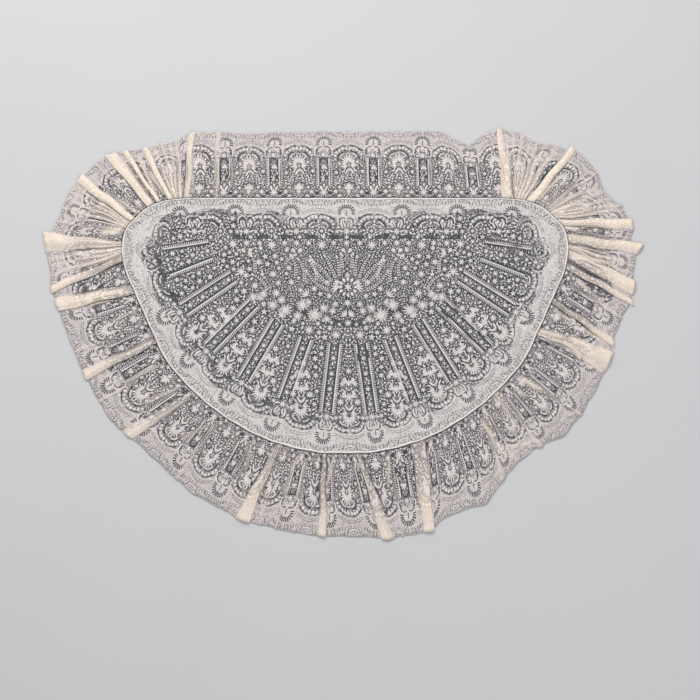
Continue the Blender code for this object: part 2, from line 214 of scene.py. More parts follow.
# Rows round the flounce, anticlockwise: directions of the seam and hem end, the hem's distance from the
# middle, then the fold's width at the seam and hem, its lift and its reach past the hem, in millimetres
Row = namedtuple("Row", "name kind seam_deg hem_deg hem seam_wide hem_wide lift reach")
FLOUNCE = [Row(*row) for row in (
    ("flounce_top", "join_end_over", 36.9, 51.1, 648, 20, 14, 2, 4),
    ("hem_falls", "plain", 39.0, 53.2, 616, 0, 0, 1, 0),
    ("hem_notch", "plain", 42.2, 54.7, 566, 0, 0, 0, 0),
    ("folded_corner", "plain", 46.2, 59.3, 561, 0, 0, 2, 0),
    ("corner_end", "plain", 50.4, 63.5, 559, 0, 0, 1, 0),
    ("top_right", "plain", 65.7, 74.6, 519, 0, 0, 0, 0),
    ("top_middle", "plain", 90.0, 90.0, 500, 0, 0, 0, 0),
    ("top_left", "plain", 114.4, 105.7, 519, 0, 0, 0, 0),
    ("top_far_left", "plain", 129.6, 118.2, 561, 0, 0, 0, 0),
    ("low_peak", "ridge", 136.5, 123.9, 600, 10, 26, 4, 2),
    ("flounce_top_left", "join_start_over", 142.3, 129.2, 640, 8, 18, 3, 3),
    ("thin_ridge", "ridge", 143.7, 133.4, 653, 5, 12, 4, 0),
    ("gather_crease", "ridge", 144.45, 136.2, 676, 4, 10, 3, 0),
    ("first_gather", "lap_clockwise", 145.3, 139.4, 699, 6, 13, 2, 1),
    ("second_gather", "lap_clockwise", 147.6, 142.4, 734, 6, 12, 2, 3),
    ("broad_gather", "lap_anticlockwise", 149.5, 144.8, 761, 14, 26, 3, 4),
    ("corner_facet", "ridge", 151.6, 148.0, 781, 5, 12, 4, 0),
    ("corner_spike", "lap_clockwise", 154.6, 151.8, 795, 12, 24, 3, 7),
    ("corner_scallop", "plain", 156.1, 155.5, 807, 0, 0, 3, 0),
    ("above_tongue", "ridge", 157.9, 161.2, 808, 10, 12, 4, 0),
    ("flounce_left", "join_start_over", 161.1, 165.4, 812, 8, 50, 6, 20),
    ("below_tongue", "plain", 162.9, 169.7, 797, 0, 0, 3, 0),
    ("left_gather", "lap_anticlockwise", 164.5, 174.2, 782, 14, 18, 4, 2),
    ("left_band", "lap_anticlockwise", 171.8, 177.0, 765, 20, 34, 4, 2),
    ("left_facet", "plain", 176.2, 182.0, 742, 0, 0, 2, 0),
    ("left_thin_ridge", "ridge", 181.1, 186.8, 724, 5, 12, 4, 0),
    ("left_fan", "lap_anticlockwise", 186.3, 192.1, 706, 10, 26, 4, 4),
    ("lower_left_ridge", "ridge", 193.2, 198.4, 688, 5, 14, 4, 0),
    ("lower_left_scallop", "plain", 198.7, 202.8, 677, 0, 0, 1, 0),
    ("lower_left_spike", "plain", 202.6, 205.6, 668, 0, 0, 0, 0),
    ("flounce_bottom_left", "join_end_over", 206.0, 208.0, 652, 16, 32, 4, 3),
    ("long_facet_start", "plain", 212.8, 216.9, 623, 0, 0, 2, 0),
    ("long_crease", "ridge", 218.3, 223.2, 616, 10, 24, 4, 0),
    ("long_facet_end", "plain", 223.7, 228.9, 613, 0, 0, 1, 0),
    ("before_band", "ridge", 232.6, 237.6, 598, 5, 12, 4, 0),
    ("bottom_left_band", "lap_anticlockwise", 242.0, 242.9, 596, 8, 36, 4, 4),
    ("thin_crease", "ridge", 244.9, 247.2, 588, 5, 12, 3, 0),
    ("bottom_first_ridge", "ridge", 250.9, 251.6, 583, 6, 14, 4, 0),
    ("bottom_second_ridge", "ridge", 255.0, 256.4, 580, 6, 14, 4, 0),
    ("bottom_fold", "lap_anticlockwise", 261.2, 264.0, 576, 8, 18, 3, 3),
    ("bottom_middle", "plain", 268.7, 273.4, 575, 0, 0, 1, 0),
    ("flounce_bottom_right", "join_start_over", 275.6, 281.0, 589, 8, 34, 4, 6),
    ("between_bands", "ridge", 288.2, 284.9, 593, 6, 12, 4, 0),
    ("bottom_right_band", "lap_anticlockwise", 300.9, 291.8, 602, 40, 24, 3, 5),
    ("after_band", "plain", 309.9, 295.6, 588, 0, 0, 1, 0),
    ("lower_right_facet", "plain", 316.1, 301.6, 592, 0, 0, 1, 0),
    ("lower_right_corner", "plain", 321.7, 307.8, 615, 0, 0, 2, 0),
    ("folded_hem", "ridge", 327.7, 314.6, 597, 10, 40, 6, 0),
    ("lower_right_notch", "plain", 331.3, 320.4, 595, 0, 0, 1, 0),
    ("crossing_ridge", "ridge", 335.0, 327.1, 616, 8, 30, 5, 4),
    ("right_facet_start", "plain", 338.7, 331.7, 654, 0, 0, 3, 0),
    ("right_facet", "ridge", 343.0, 338.0, 675, 6, 12, 3, 0),
    ("right_facet_end", "plain", 348.5, 345.4, 692, 0, 0, 2, 0),
    ("flounce_right", "join_end_over", 355.8, 351.2, 708, 10, 52, 5, 6),
    ("right_pleat", "lap_clockwise", 365.3, 355.0, 713, 9, 18, 3, 3),
    ("right_hem", "plain", 368.0, 358.0, 722, 0, 0, 1, 0),
    ("right_crease", "ridge", 370.6, 360.4, 734, 6, 12, 4, 0),
    ("under_band_pleat", "lap_clockwise", 373.7, 363.3, 757, 12, 18, 3, 14),
    ("right_band", "lap_anticlockwise", 376.5, 366.4, 768, 22, 35, 5, 6),
    ("above_band", "plain", 378.3, 370.6, 779, 0, 0, 2, 0),
    ("right_spike", "lap_anticlockwise", 380.2, 373.6, 794, 20, 20, 4, 22),
    ("between_spikes", "ridge", 382.3, 375.9, 788, 5, 8, 4, 0),
    ("upper_right_pleat", "lap_anticlockwise", 384.5, 378.5, 800, 16, 26, 4, 7),
    ("upper_flap", "ridge", 386.2, 382.5, 790, 6, 16, 5, 6),
    ("upper_notch", "plain", 387.2, 386.1, 768, 0, 0, 1, 0),
    ("upper_crease", "ridge", 389.0, 390.3, 774, 6, 14, 5, 0),
    ("upper_facet", "plain", 391.0, 394.1, 770, 0, 0, 2, 0),
    ("upper_spike", "lap_anticlockwise", 392.7, 397.0, 750, 14, 18, 3, 12),
    ("upper_scallop", "plain", 393.9, 399.8, 721, 0, 0, 2, 0),
    ("last_ridge", "ridge", 394.9, 402.7, 693, 6, 14, 5, 3),
    ("before_top", "plain", 395.5, 407.2, 676, 0, 0, 2, 0),
)]

# Shells of the edging that show in each length of the flounce: the count of repeats from the length's own
# first, and where the shell lies from the middle, in chart steps. The pattern is laid through them.
SHELLS_SEEN = {
    "flounce_top": ((0, 76, 179), (1, 27.5, 179), (2, -20.5, 179), (3, -69.5, 179)),
    "flounce_top_left": ((0, -197, 166),),
    "flounce_left": ((0, -283, 96), (1, -284, 41), (2, -272, 4), (3, -254.6, -39), (4, -241.5, -69)),
    "flounce_bottom_left": ((0, -170.4, -145), (1, -126, -177), (3, -60.7, -198), (4, -15.3, -204)),
    "flounce_bottom_right": ((0, 65.4, -201), (1, 90.5, -188), (2, 135.5, -176), (4, 192, -113)),
    "flounce_right": ((4, 279, 56), (5, 283, 86), (7, 246.5, 138), (8, 200, 171)),
}

# Shells of the panel's border and the star that their bars run in to, in chart steps from the panel's own
# axis, then how far from the shell the bars start and end, and half the way between them there
Spoke = namedtuple("Spoke", "x y star_x star_y start end half_start half_end")
SPOKES = (
    Spoke(-25.5, -118, -12.0, -15.0, 26.0, 95.0, 5.5, 5.3),
    Spoke(-74.0, -104, -38.9, -10.0, 26.0, 91.5, 5.5, 5.3),
    Spoke(-118.2, -81, -65.7, 5.5, 26.0, 92.5, 5.5, 5.4),
    Spoke(-157.5, -46, -87.4, 23.0, 26.0, 89.5, 5.8, 5.4),
    Spoke(-186.0, -4, -106.0, 48.5, 26.0, 86.5, 6.2, 5.4),
    Spoke(-202.0, 52, -113.6, 76.0, 22.0, 68.0, 13.5, 8.5),
)
TOP_SHELLS = (-152.0, -100.0, -50.0)
TOP_SHELL_Y = 110.0
PANEL_TOP_BAND = 12.0

# Stars between a pair of bars: how far from the shell the first is, the next from it, and what is left clear
# before the star that the bars run in to
STAR_START = 34.0
STAR_PITCH = 15.5
STAR_CLEAR = 14

# Where arches of the border meet round the left end of the panel, with no shell between them
PLAIN_MEETINGS = ((-200.0, 44.0), (-202.0, 84.0))

# Depth below the shells to which the dense ribbed band reaches, on average and how much it waves, and then
# how high the dark band across the panel lies and how far it reaches to each side, all in steps
BAND_REACH = 7.0
BAND_WAVE = 3.0
DARK_BAND_Y = 83.0
DARK_BAND_HALF = 113.0

# Flowers of the medallion's left half, in chart steps from the panel's axis and the middle: size, petals.
# Its ground is finer than the rest, as far as a radius from the dark band, and left bare in a dark arc.
MEDALLION_RADIUS = 92.0
DARK_ARC = (83.0, 90.5)
MEDALLION = (
    (-10.5, 38.0, 3.4, 7), (-74, 46, 4.4, 8), (-69, 37, 3.6, 6), (-71, 27, 4.8, 8), (-58, 52, 3.6, 7),
    (-56, 38, 3.8, 6), (-92.4, 34.5, 4.4, 8), (-101.4, 44.6, 3.6, 6), (-88, 58, 4.0, 7), (-97, 66, 3.2, 6),
    (-72, 64, 3.4, 7), (-33, 31.4, 3.6, 8), (-47, 30, 3.2, 6), (-18.5, 24, 3.4, 7), (-84, 16, 3.4, 7),
    (-30, -3.5, 3.0, 7), (-54, -1, 3.4, 7), (-60, 70, 3.0, 6), (-86, 72, 3.0, 6), (-20, 38, 2.8, 6),
)

# Sprays of small leaves in the medallion's left half: where each starts, its first direction in degrees, how
# much it turns at each pair of leaves, and how many pairs it has
SPRAYS = (
    (-8.0, 44.0, 178, 2.5, 8), (-12.0, 42.0, 196, 2.0, 10), (-15.5, 38.5, 212, 2.0, 12),
    (-18.0, 34.5, 230, -2.0, 13), (-19.0, 30.0, 250, -4.0, 12), (-31.0, 40.0, 176, 4.0, 10),
    (-43.0, 38.0, 172, 5.0, 10), (-52.0, 44.0, 168, 6.0, 9), (-4.6, 52.0, 184, 1.0, 6),
    (-62.0, 56.0, 150, -8.0, 6), (-80.0, 30.0, 200, 6.0, 9), (-92.0, 48.0, 176, 5.0, 8),
)

# The garland of blossoms round the foot of the medallion, left half: where each is, and its size
GARLAND = (
    (-94.0, 23.0, 5.6), (-84.0, 26.0, 5.4), (-75.0, 15.0, 6.0), (-62.0, 10.0, 7.6), (-66.0, 20.0, 5.0),
    (-45.0, 15.0, 7.0), (-50.0, 4.0, 5.4), (-33.0, 5.0, 8.2), (-24.0, 12.0, 5.6), (-39.0, 18.0, 4.4),
    (-21.0, 1.0, 4.6), (-15.0, 9.0, 4.4), (-12.0, 16.0, 3.8),
)

Column = namedtuple("Column", "seam_deg hem seam_height hem_height cream shown edge")
Shape = namedtuple("Shape", "rim foot top dark")


def curve_point(before, start, end, after, share):
    """Point on a smooth curve through start and end."""
    square = share * share
    cube = square * share
    return 0.5 * (
        2 * start
        + (end - before) * share
        + (2 * before - 5 * start + 4 * end - after) * square
        + (3 * start - before - 3 * end + after) * cube
    )


def panel_outline():
    """Directions in degrees and distances in metres round the panel's edge."""
    right = [np.array(point) * MM for point in PANEL_HALF]
    left = [point * (-1, 1) for point in reversed(right[1:-1])]
    corners = right + left
    found = []
    for index in range(len(corners)):
        four = [corners[(index + step) % len(corners)] for step in (-1, 0, 1, 2)]
        for step in range(OUTLINE_SPAN_STEPS):
            point = curve_point(*four, step / OUTLINE_SPAN_STEPS)
            found.append((math.degrees(math.atan2(point[1], point[0])) % 360, np.hypot(*point)))
    return np.array(sorted(found)).T


OUTLINE_DEG, OUTLINE_RADIUS = panel_outline()


def edge_radius(degrees):
    """Distance from the middle to the panel's edge in one direction, or in several."""
    return np.interp(degrees, OUTLINE_DEG, OUTLINE_RADIUS, period=360)


def direction(degrees):
    angle = np.radians(degrees)
    return np.stack((np.cos(angle), np.sin(angle)), axis=-1)


def hem_point(row):
    return MIDDLE + row.hem * MM * direction(row.hem_deg)


def hem_tangent(index):
    """Direction along the hem at a row, anticlockwise."""
    along = hem_point(FLOUNCE[(index + 1) % len(FLOUNCE)]) - hem_point(FLOUNCE[index - 1])
    return along / np.hypot(*along)


def placed(index, share, seam_shift=0.0, hem_shift=0.0, layer=0.0, lift=0.0, reach=0.0, cream=0.0,
           shown=1, edge=0):
    """A column beside a row. The share runs from -1 to 1 over the fold's width, and the shifts are metres."""
    row = FLOUNCE[index]
    seam_move = share * row.seam_wide * MM / 2 + seam_shift
    hem_move = share * row.hem_wide * MM / 2 + hem_shift
    seam_deg = row.seam_deg + math.degrees(seam_move / edge_radius(row.seam_deg))
    hem = hem_point(row) + hem_move * hem_tangent(index) + reach * row.reach * MM * direction(row.hem_deg)
    height = WALL + layer * LAYER_STEP
    rise = lift * row.lift * MM
    return Column(seam_deg, hem, height + SEAM_LIFT_SHARE * rise, height + rise, cream, shown, edge)


def plain_columns(index):
    return [placed(index, 0, lift=1)]


def ridge_columns(index):
    """One soft wave, its crest a little creamier than its feet."""
    return [placed(index, -1), placed(index, 0, lift=1, reach=1, cream=0.45), placed(index, 1)]


def lap_columns(index):
    """Three layers, the sharp edge anticlockwise or, mirrored, clockwise."""
    side = 1 if FLOUNCE[index].kind == "lap_anticlockwise" else -1
    inner = (side * FOLD_INSET_SEAM, side * FOLD_INSET_HEM)
    turned = (side * (FOLD_INSET_SEAM - FOLD_TURN), side * (FOLD_INSET_HEM - FOLD_TURN))
    columns = [
        placed(index, -side, -side * RISE_SEAM, -side * RISE_HEM, edge=1),
        placed(index, -side, layer=2, reach=0.3, cream=0.8),
        placed(index, 0, layer=2, lift=1, reach=0.6, cream=1.0),
        placed(index, side, layer=2, reach=1, cream=1.0),
        placed(index, side, side * FOLD_TURN, side * FOLD_TURN, layer=1.5, reach=1, cream=1.0, edge=1),
        placed(index, side, layer=1, reach=1, shown=0),
        placed(index, -side, *inner, layer=1, reach=0, shown=0),
        placed(index, -side, *turned, layer=0.5, reach=0, shown=0),
        placed(index, -side, *inner, layer=0, reach=0, shown=0),
        placed(index, side, side * FOLD_TURN, side * FOLD_TURN, shown=0, edge=1),
    ]
    return columns[::side]


def over_columns(index, side):
    """The end of a length that lies over its neighbour, from its foot to its own edge on the side given."""
    columns = [
        placed(index, -side, -side * RISE_SEAM, -side * RISE_HEM, edge=1),
        placed(index, -side, layer=1, reach=0.3, cream=0.5),
        placed(index, 0, layer=1, lift=1, reach=0.6, cream=0.8),
        placed(index, side, layer=1, reach=1, cream=0.8),
    ]
    return columns[::side]


def under_columns(index, side):
    """The end of a length that lies under its neighbour, away from the neighbour's own edge."""
    columns = [placed(index, -side / 2, shown=0), placed(index, 0, shown=0), placed(index, side)]
    return columns[::side]


def columns_of_join(index):
    """The last columns of one length and the first of the next."""
    if FLOUNCE[index].kind == "join_end_over":
        return over_columns(index, 1), under_columns(index, 1)
    return under_columns(index, -1), over_columns(index, -1)


def ease(share):
    return share * share * (3 - 2 * share)


def between(start, end):
    """Columns from one to the next, finely cut, with heights eased between the two."""
    hem_length = np.hypot(*(end.hem - start.hem))
    seam_length = abs(math.radians(end.seam_deg - start.seam_deg)) * edge_radius(start.seam_deg)
    count = max(1, math.ceil(max(hem_length, seam_length) / COLUMN_STEP))
    found = []
    for step in range(1, count + 1):
        share = step / count
        eased = ease(share)
        found.append(
            Column(
                start.seam_deg + share * (end.seam_deg - start.seam_deg),
                start.hem + share * (end.hem - start.hem),
                start.seam_height + eased * (end.seam_height - start.seam_height),
                start.hem_height + eased * (end.hem_height - start.hem_height),
                start.cream + eased * (end.cream - start.cream),
                max(start.shown, end.shown),
                end.edge if step == count else 0,
            )
        )
    return found


def flounce_lengths():
    """The fine columns of each length of the flounce, by name."""
    makers = {
        "plain": plain_columns,
        "ridge": ridge_columns,
        "lap_clockwise": lap_columns,
        "lap_anticlockwise": lap_columns,
    }
    lengths = {}
    name = None
    for index, row in enumerate(FLOUNCE):
        if row.kind.startswith("join"):
            ending, beginning = columns_of_join(index)
            if name:
                lengths[name] += ending
            else:
                closing = [column._replace(seam_deg=column.seam_deg + 360) for column in ending]
            name = row.name
            lengths[name] = beginning
        else:
            lengths[name] += makers[row.kind](index)
    lengths[name] += closing
    fine = {}
    for name, columns in lengths.items():
        fine[name] = columns[:1]
        for start, end in zip(columns, columns[1:]):
            fine[name] += between(start, end)
    return fine


def eased_step(values, start, end):
    return ease(np.clip((values - start) / (end - start), 0, 1))


def undulation(x, y):
    """A slow unevenness of the laid cloth, from 0 to 1, over points in metres."""
    wave = np.sin(61 * x + 23 * y) + np.sin(37 * x - 71 * y + 1.3) + np.sin(-19 * x + 97 * y + 2.1)
    return 0.5 + wave / 6


def creased(x, y):
    """Height in metres and creaminess of the listed creases, over points in metres."""
    height, cream = np.zeros_like(x), np.zeros_like(x)
    for crease in CREASES:
        start = MIDDLE + STEP * np.array((crease.x, crease.y))
        end = MIDDLE + STEP * np.array((crease.end_x, crease.end_y))
        length = np.hypot(*(end - start))
        run = (end - start) / length
        along = ((x - start[0]) * run[0] + (y - start[1]) * run[1]) / length
        aside = (y - start[1]) * run[0] - (x - start[0]) * run[1]
        width = STEP * crease.width * np.where(aside > 0, *CREASE_SIDES)
        taper = eased_step(along, *CREASE_START) * eased_step(-along, *CREASE_END)
        part = taper * np.exp(-((aside / width) ** 2))
        height += crease.height * MM * part
        cream = np.maximum(cream, crease.cream * part)
    return height, cream


# The cloth of one length: points, normals, creaminess and count of repeats by column and depth, then by
# column the share of the depth at which the shells lie and whether it shows, and the facets between folds
Cloth = namedtuple("Cloth", "points normals cream repeat shell_share shown facets")
Facet = namedtuple("Facet", "first last repeat")


def run_lengths(points):
    """How far each of a run of points is along it."""
    return np.concatenate(([0.0], np.cumsum(np.hypot(*(points[1:] - points[:-1]).T))))


def fullness(hem_run, seam_run):
    """How closely the cloth is gathered at the seam, from 0, flat, to 1, by column."""
    before = np.clip(np.arange(len(hem_run)) - FULLNESS_REACH, 0, None)
    after = np.clip(np.arange(len(hem_run)) + FULLNESS_REACH, None, len(hem_run) - 1)
    ratio = (hem_run[after] - hem_run[before]) / np.maximum(seam_run[after] - seam_run[before], 1e-4)
    return eased_step(ratio, GATHER_START, GATHER_FULL)


def pleat_crests(hem_run):
    """How near each column is to the crest of a small pleat, from 0 to 1."""
    wander = 1.9 * np.sin(23 * hem_run) + 1.1 * np.sin(61 * hem_run + 1.0)
    return (0.5 + 0.5 * np.sin(2 * np.pi * hem_run / PLEAT_PITCH + wander)) ** 1.6


def cloth_surface(columns, seam, hem, full, crests):
    """Points of the cloth, a row for each column and from the hem to the seam in each."""
    share = np.linspace(0, 1, DEPTH_ROWS)[None, :]
    flat = hem[:, None, :] + share[..., None] * (seam - hem)[:, None, :]
    hem_height = np.array([column.hem_height for column in columns])[:, None]
    seam_height = np.array([column.seam_height for column in columns])[:, None]
    height = hem_height + share * (seam_height - hem_height)
    shown = np.array([column.shown for column in columns])[:, None]
    x, y = flat[..., 0], flat[..., 1]
    height = height + shown * (UNDULATION * undulation(x, y) + creased(x, y)[0])
    height = height + shown * (full * crests)[:, None] * share * PLEAT_HEIGHT
    sway = 4 * share * (1 - share) * SWAY
    aside = np.stack((np.sin(47 * y + 29 * x) * sway, np.sin(53 * x - 31 * y + 0.8) * sway), axis=-1)
    return np.concatenate((flat + aside, height[..., None]), axis=-1)


def surface_normals(points):
    normal = np.cross(np.gradient(points, axis=0), np.gradient(points, axis=1))
    return normal / np.maximum(np.linalg.norm(normal, axis=-1, keepdims=True), 1e-12)


def counted_repeats(name, points, along, shown):
    """The count of repeats at each column, so that the pattern runs through the shells that show."""
    row = round(SHALLOW_SHELL_SHARE * (DEPTH_ROWS - 1))
    found = []
    for repeat, x, y in SHELLS_SEEN[name]:
        target = MIDDLE + STEP * np.array((x, y))
        gap = np.hypot(*(points[:, row, :2] - target).T) + (1 - shown)
        column = int(np.argmin(gap))
        found.append((along[column], repeat - along[column] / REPEAT))
    at, shift = np.array(sorted(found)).T
    return np.maximum.accumulate(along / REPEAT + np.interp(along, at, shift))


def facets_between(points, repeat, edges):
    """The facets between fold edges, with the cloth unstretched in each."""
    steps = np.linalg.norm(points[1:] - points[:-1], axis=-1)
    run = np.concatenate((np.zeros((1, DEPTH_ROWS)), np.cumsum(steps, axis=0)))
    found = []
    for first, last in zip(edges, edges[1:]):
        if last > first:
            middle = (first + last) // 2
            wide = np.maximum(run[last] - run[first], 1e-4)
            count = max(repeat[last] - repeat[first], 1e-3)
            count = np.maximum(count, wide / (REPEAT * STEP))
            part = run[first:last + 1] - run[middle]
            found.append(Facet(first, last, repeat[middle] + part / wide * count))
    return found


def make_cloth(name, columns):
    """The cloth of one length of the flounce, its hem cut in shallow scallops."""
    seam_deg = np.array([column.seam_deg for column in columns])
    seam = MIDDLE + (edge_radius(seam_deg) + SEAM_GAP)[:, None] * direction(seam_deg)
    hem = np.array([column.hem for column in columns])
    shown = np.array([column.shown for column in columns])
    hem_run, seam_run = run_lengths(hem), run_lengths(seam)
    full = fullness(hem_run, seam_run)
    crests = pleat_crests(hem_run)
    points = cloth_surface(columns, seam, hem, full, crests)
    repeat = counted_repeats(name, points, hem_run / STEP, shown)
    outward = (hem - seam) / np.hypot(*(hem - seam).T)[:, None]
    hem = hem + SCALLOP * np.cos(4 * np.pi * repeat)[:, None] * outward
    points = cloth_surface(columns, seam, hem, full, crests)
    deep = np.clip((MIDDLE[1] + TURN_OF_DEPTH - hem[:, 1]) / TURN_OF_DEPTH, 0, 1)
    shell_share = SHALLOW_SHELL_SHARE + deep * (DEEP_SHELL_SHARE - SHALLOW_SHELL_SHARE)
    share = np.linspace(0, 1, DEPTH_ROWS)[None, :]
    folded = np.array([column.cream for column in columns])[:, None] * (1 - 0.8 * deep[:, None] * share**0.7)
    crests = crests[:, None]
    gathered = GATHER_CREAM_HEM * crests + GATHER_CREAM * share**1.1 * (0.35 + 0.65 * crests)
    cream = np.maximum(folded, full[:, None] * gathered)
    cream = np.maximum(cream, shown[:, None] * creased(points[..., 0], points[..., 1])[1])
    edges = [index for index, column in enumerate(columns) if column.edge]
    edges = [0] + edges + [len(columns) - 1]
    facets = facets_between(points, repeat, edges)
    repeats = np.concatenate([facets[0].repeat[:1]] + [facet.repeat[1:] for facet in facets])
    return Cloth(points, surface_normals(points), cream, repeats, shell_share, shown, facets)


def chart_depths(cloth):
    """Depth in the chart, in steps below the shells, of each row of points, by column."""
    share = np.linspace(0, 1, DEPTH_ROWS)
    marks = [-HEM_TO_SHELL, 0.0, SHELL_TO_SEAM]
    return np.array([np.interp(share, [0.0, shell, 1.0], marks) for shell in cloth.shell_share])


def oval(x, y, radius_x, radius_y=None, sides=6):
    angle = np.linspace(0, 2 * np.pi, sides, endpoint=False)
    return np.stack((x + radius_x * np.cos(angle), y + (radius_y or radius_x) * np.sin(angle)), axis=-1)


def leaf(x, y, length, width, degrees):
    """A leaf from its foot. The angle is from the way to the hem, and turns towards +x."""
    angle = math.radians(degrees)
    ahead = np.array((math.sin(angle), -math.cos(angle)))
    aside = np.array((-ahead[1], ahead[0]))
    foot = np.array((x, y))
    marks = ((0, 0), (0.35, 0.5), (0.7, 0.42), (1, 0), (0.7, -0.42), (0.35, -0.5))
    return np.array([foot + length * far * ahead + width * wide * aside for far, wide in marks])


def thread(rim, top=THREAD_TOP):
    return Shape(rim, THREAD_FOOT, top, False)


def opening(rim):
    return Shape(rim, OPENING_FOOT, OPENING_TOP, True)


def ribbon(points, width):
    """Outlines of the short pieces of a band through some points."""
    found = []
    for start, end in zip(points, points[1:]):
        start, end = np.array(start, float), np.array(end, float)
        run = (end - start) / np.hypot(*(end - start))
        aside = np.array((-run[1], run[0])) * width / 2
        lap = run * width * 0.2
        start, end = start - lap, end + lap
        found.append(np.array((start - aside, end - aside, end + aside, start + aside)))
    return found


def mirrored(shapes):
    """The shapes and what they show in a mirror along x = 0."""
    return shapes + [shape._replace(rim=shape.rim * (-1, 1)) for shape in shapes]


def moved(shapes, x, y=0.0):
    return [shape._replace(rim=shape.rim + (x, y)) for shape in shapes]


def leaves(*rows):
    return [thread(leaf(*row)) for row in rows]


def beads(*rows):
    return [thread(oval(*row)) for row in rows]


def specks(*rows):
    """Small openings: where each is, and its size."""
    return [opening(oval(x, y, size, sides=4)) for x, y, size in rows]


def strand(width, *points):
    return [thread(rim) for rim in ribbon(points, width)]


def slit(width, *points):
    return [opening(rim) for rim in ribbon(points, width)]


def radial(x, y, near, far, degrees, width):
    """A short straight rib that points away from a centre."""
    angle = math.radians(degrees)
    ahead = np.array((math.sin(angle), -math.cos(angle)))
    centre = np.array((x, y))
    return ribbon([centre + near * ahead, centre + far * ahead], width)[0]


def flower(x, y, size, petals, turn=0.0):
    """A flower of petals round a raised heart."""
    width = 2.1 * size / petals + 0.12
    found = [thread(leaf(x, y, size, width, turn + 360 * step / petals)) for step in range(petals)]
    return found + [thread(oval(x, y, 0.28 * size), BALL_TOP)]


def rosette(x, y, size, petals):
    """A big round flower: a small one in a dark ring, inside a ring of petals."""
    found = flower(x, y, 0.42 * size, 6)
    for step in range(petals):
        turn = 360 * step / petals
        foot_x = x + 0.52 * size * math.sin(math.radians(turn))
        foot_y = y - 0.52 * size * math.cos(math.radians(turn))
        found += leaves((foot_x, foot_y, 0.5 * size, 3.4 * size / petals, turn))
    return found


def shell_head():
    """The fan of ribs and openings at the head of each shell, its stem, and the light net inside."""
    found = []
    for degrees in range(-102, 103, 17):
        reach = 1.2 * abs(math.sin(math.radians(degrees)))
        found.append(opening(radial(0, 2.7, 3.9 + reach, 6.7 + reach, degrees, 1.05)))
        found.append(thread(radial(0, 2.7, 2.9, 6.0 + reach, degrees + 8.5, 0.6)))
    return found + slit(0.7, (0, 1.0), (0, 5.6)) + beads((-2.0, 2.0, 1.2), (2.0, 2.0, 1.2))


def niche():
    """The round-headed niche under a shell, with its flower."""
    found = slit(0.8, (7.4, 14.0), (7.2, 10.0), (5.9, 7.4), (3.8, 6.4), (1.4, 7.0))
    found += strand(1.2, (9.0, 14.5), (8.7, 9.5), (6.6, 5.9), (3.6, 4.8), (1.0, 5.2))
    found += beads((3.9, 10.6, 1.5)) + leaves((3.0, 17.0, 3.4, 1.5, 30))
    return mirrored(found) + beads((0, 8.0, 1.5)) + flower(0, 15.0, 3.1, 7)


def niche_foot():
    """What hangs between the bars under a niche."""
    found = slit(1.1, (3.0, 22.4), (1.5, 18.4), (0, 17.8))
    for step in range(8):
        found += leaves((3.1, 22.5 + 3.0 * step, 2.6, 1.4, 25 if step % 2 else -35))
    found = mirrored(found) + flower(0, 26.4, 3.4, 8) + flower(-2.6, 32.2, 1.6, 5)
    return found + leaves((0.8, 41.0, 6.4, 2.6, 6)) + [opening(leaf(0.8, 40.0, 4.2, 0.7, 6))]


def bars(start, end, half_start, half_end):
    """A pair of bars with teeth on their outer sides."""
    count = round((end - start) / 1.9)
    found = strand(1.4, (half_start, start), (half_end, end))
    found += slit(0.8, (half_start - 1.5, start), (half_end - 1.5, end))
    for step in range(count + 1):
        share = step / count
        x = half_start + share * (half_end - half_start)
        found += leaves((x + 0.4, start + share * (end - start), 2.9, 1.05, 90))
    return mirrored(found)


def foot_star(y):
    """The big star at the foot of a niche, its petals and the dark ground at its sides."""
    found = leaves((1.2, y - 2.0, 6.6, 2.4, 28)) + [opening(oval(6.4, y + 1.0, 1.7, 1.4))]
    return mirrored(found) + flower(0, y, 4.6, 8)


def hem_ribs():
    """Thin dark lines, light ribs and specks of the dense band along the edge, for a whole repeat."""
    source = random.Random(5)
    found = []
    for step in range(8):
        x = 1.5 + 3.1 * step + source.uniform(-0.4, 0.4)
        near = 2.3 + 1.3 * (1 + math.cos(math.pi * x / 25)) + source.uniform(-0.4, 0.8)
        far = near + source.uniform(2.0, 3.4)
        found += slit(0.36, (x, -near), (x, -min(far, 8.8)))
        found += leaves((x + 0.9, -near, 8.9 - near, 0.7, 0), (x + 2.2, -near, 8.9 - near, 0.7, 0))
        for _ in range(9):
            speck_x, speck_y = x + source.uniform(0.5, 2.7), -source.uniform(near, 8.6)
            found += specks((speck_x, speck_y, source.uniform(0.25, 0.5)))
    return mirrored(found)


def arch_head():
    """Beads, crescents and balls at the head of an arch."""
    found = []
    for step in range(12):
        x = 0.6 + 1.2 * step
        bend = 3.4 * (x / 14) ** 2
        found += specks((x, -0.9 + bend, 0.42), (x, 0.9 + bend, 0.42))
    found += slit(0.75, (2.6, 4.4), (5.0, 4.5), (8.0, 5.6), (10.8, 7.4), (13.4, 10.0))
    balls = ((2.2, 7.2, 1.7), (5.6, 7.2, 1.7), (8.6, 8.8, 1.7), (11.3, 11.2, 1.8), (13.2, 14.2, 1.5))
    for x, y, size in balls:
        found.append(thread(oval(x, y, size), BALL_TOP))
        found += specks((x, y, 0.34), (x + 1.5, y + 1.7, 0.55))
    found += slit(0.8, (4.4, 10.6), (7.2, 11.6), (9.8, 14.6), (10.8, 18.4))
    found += strand(1.3, (3.6, 12.2), (6.4, 13.2), (8.6, 16.0))
    found += leaves((14.8, 9.6, 2.8, 1.1, 40), (16.2, 12.2, 2.8, 1.1, 40), (16.4, 15.6, 2.8, 1.1, 40))
    return mirrored(found + leaves((1.0, 9.4, 4.6, 1.4, 12)) + specks((2.9, 10.2, 0.5)))


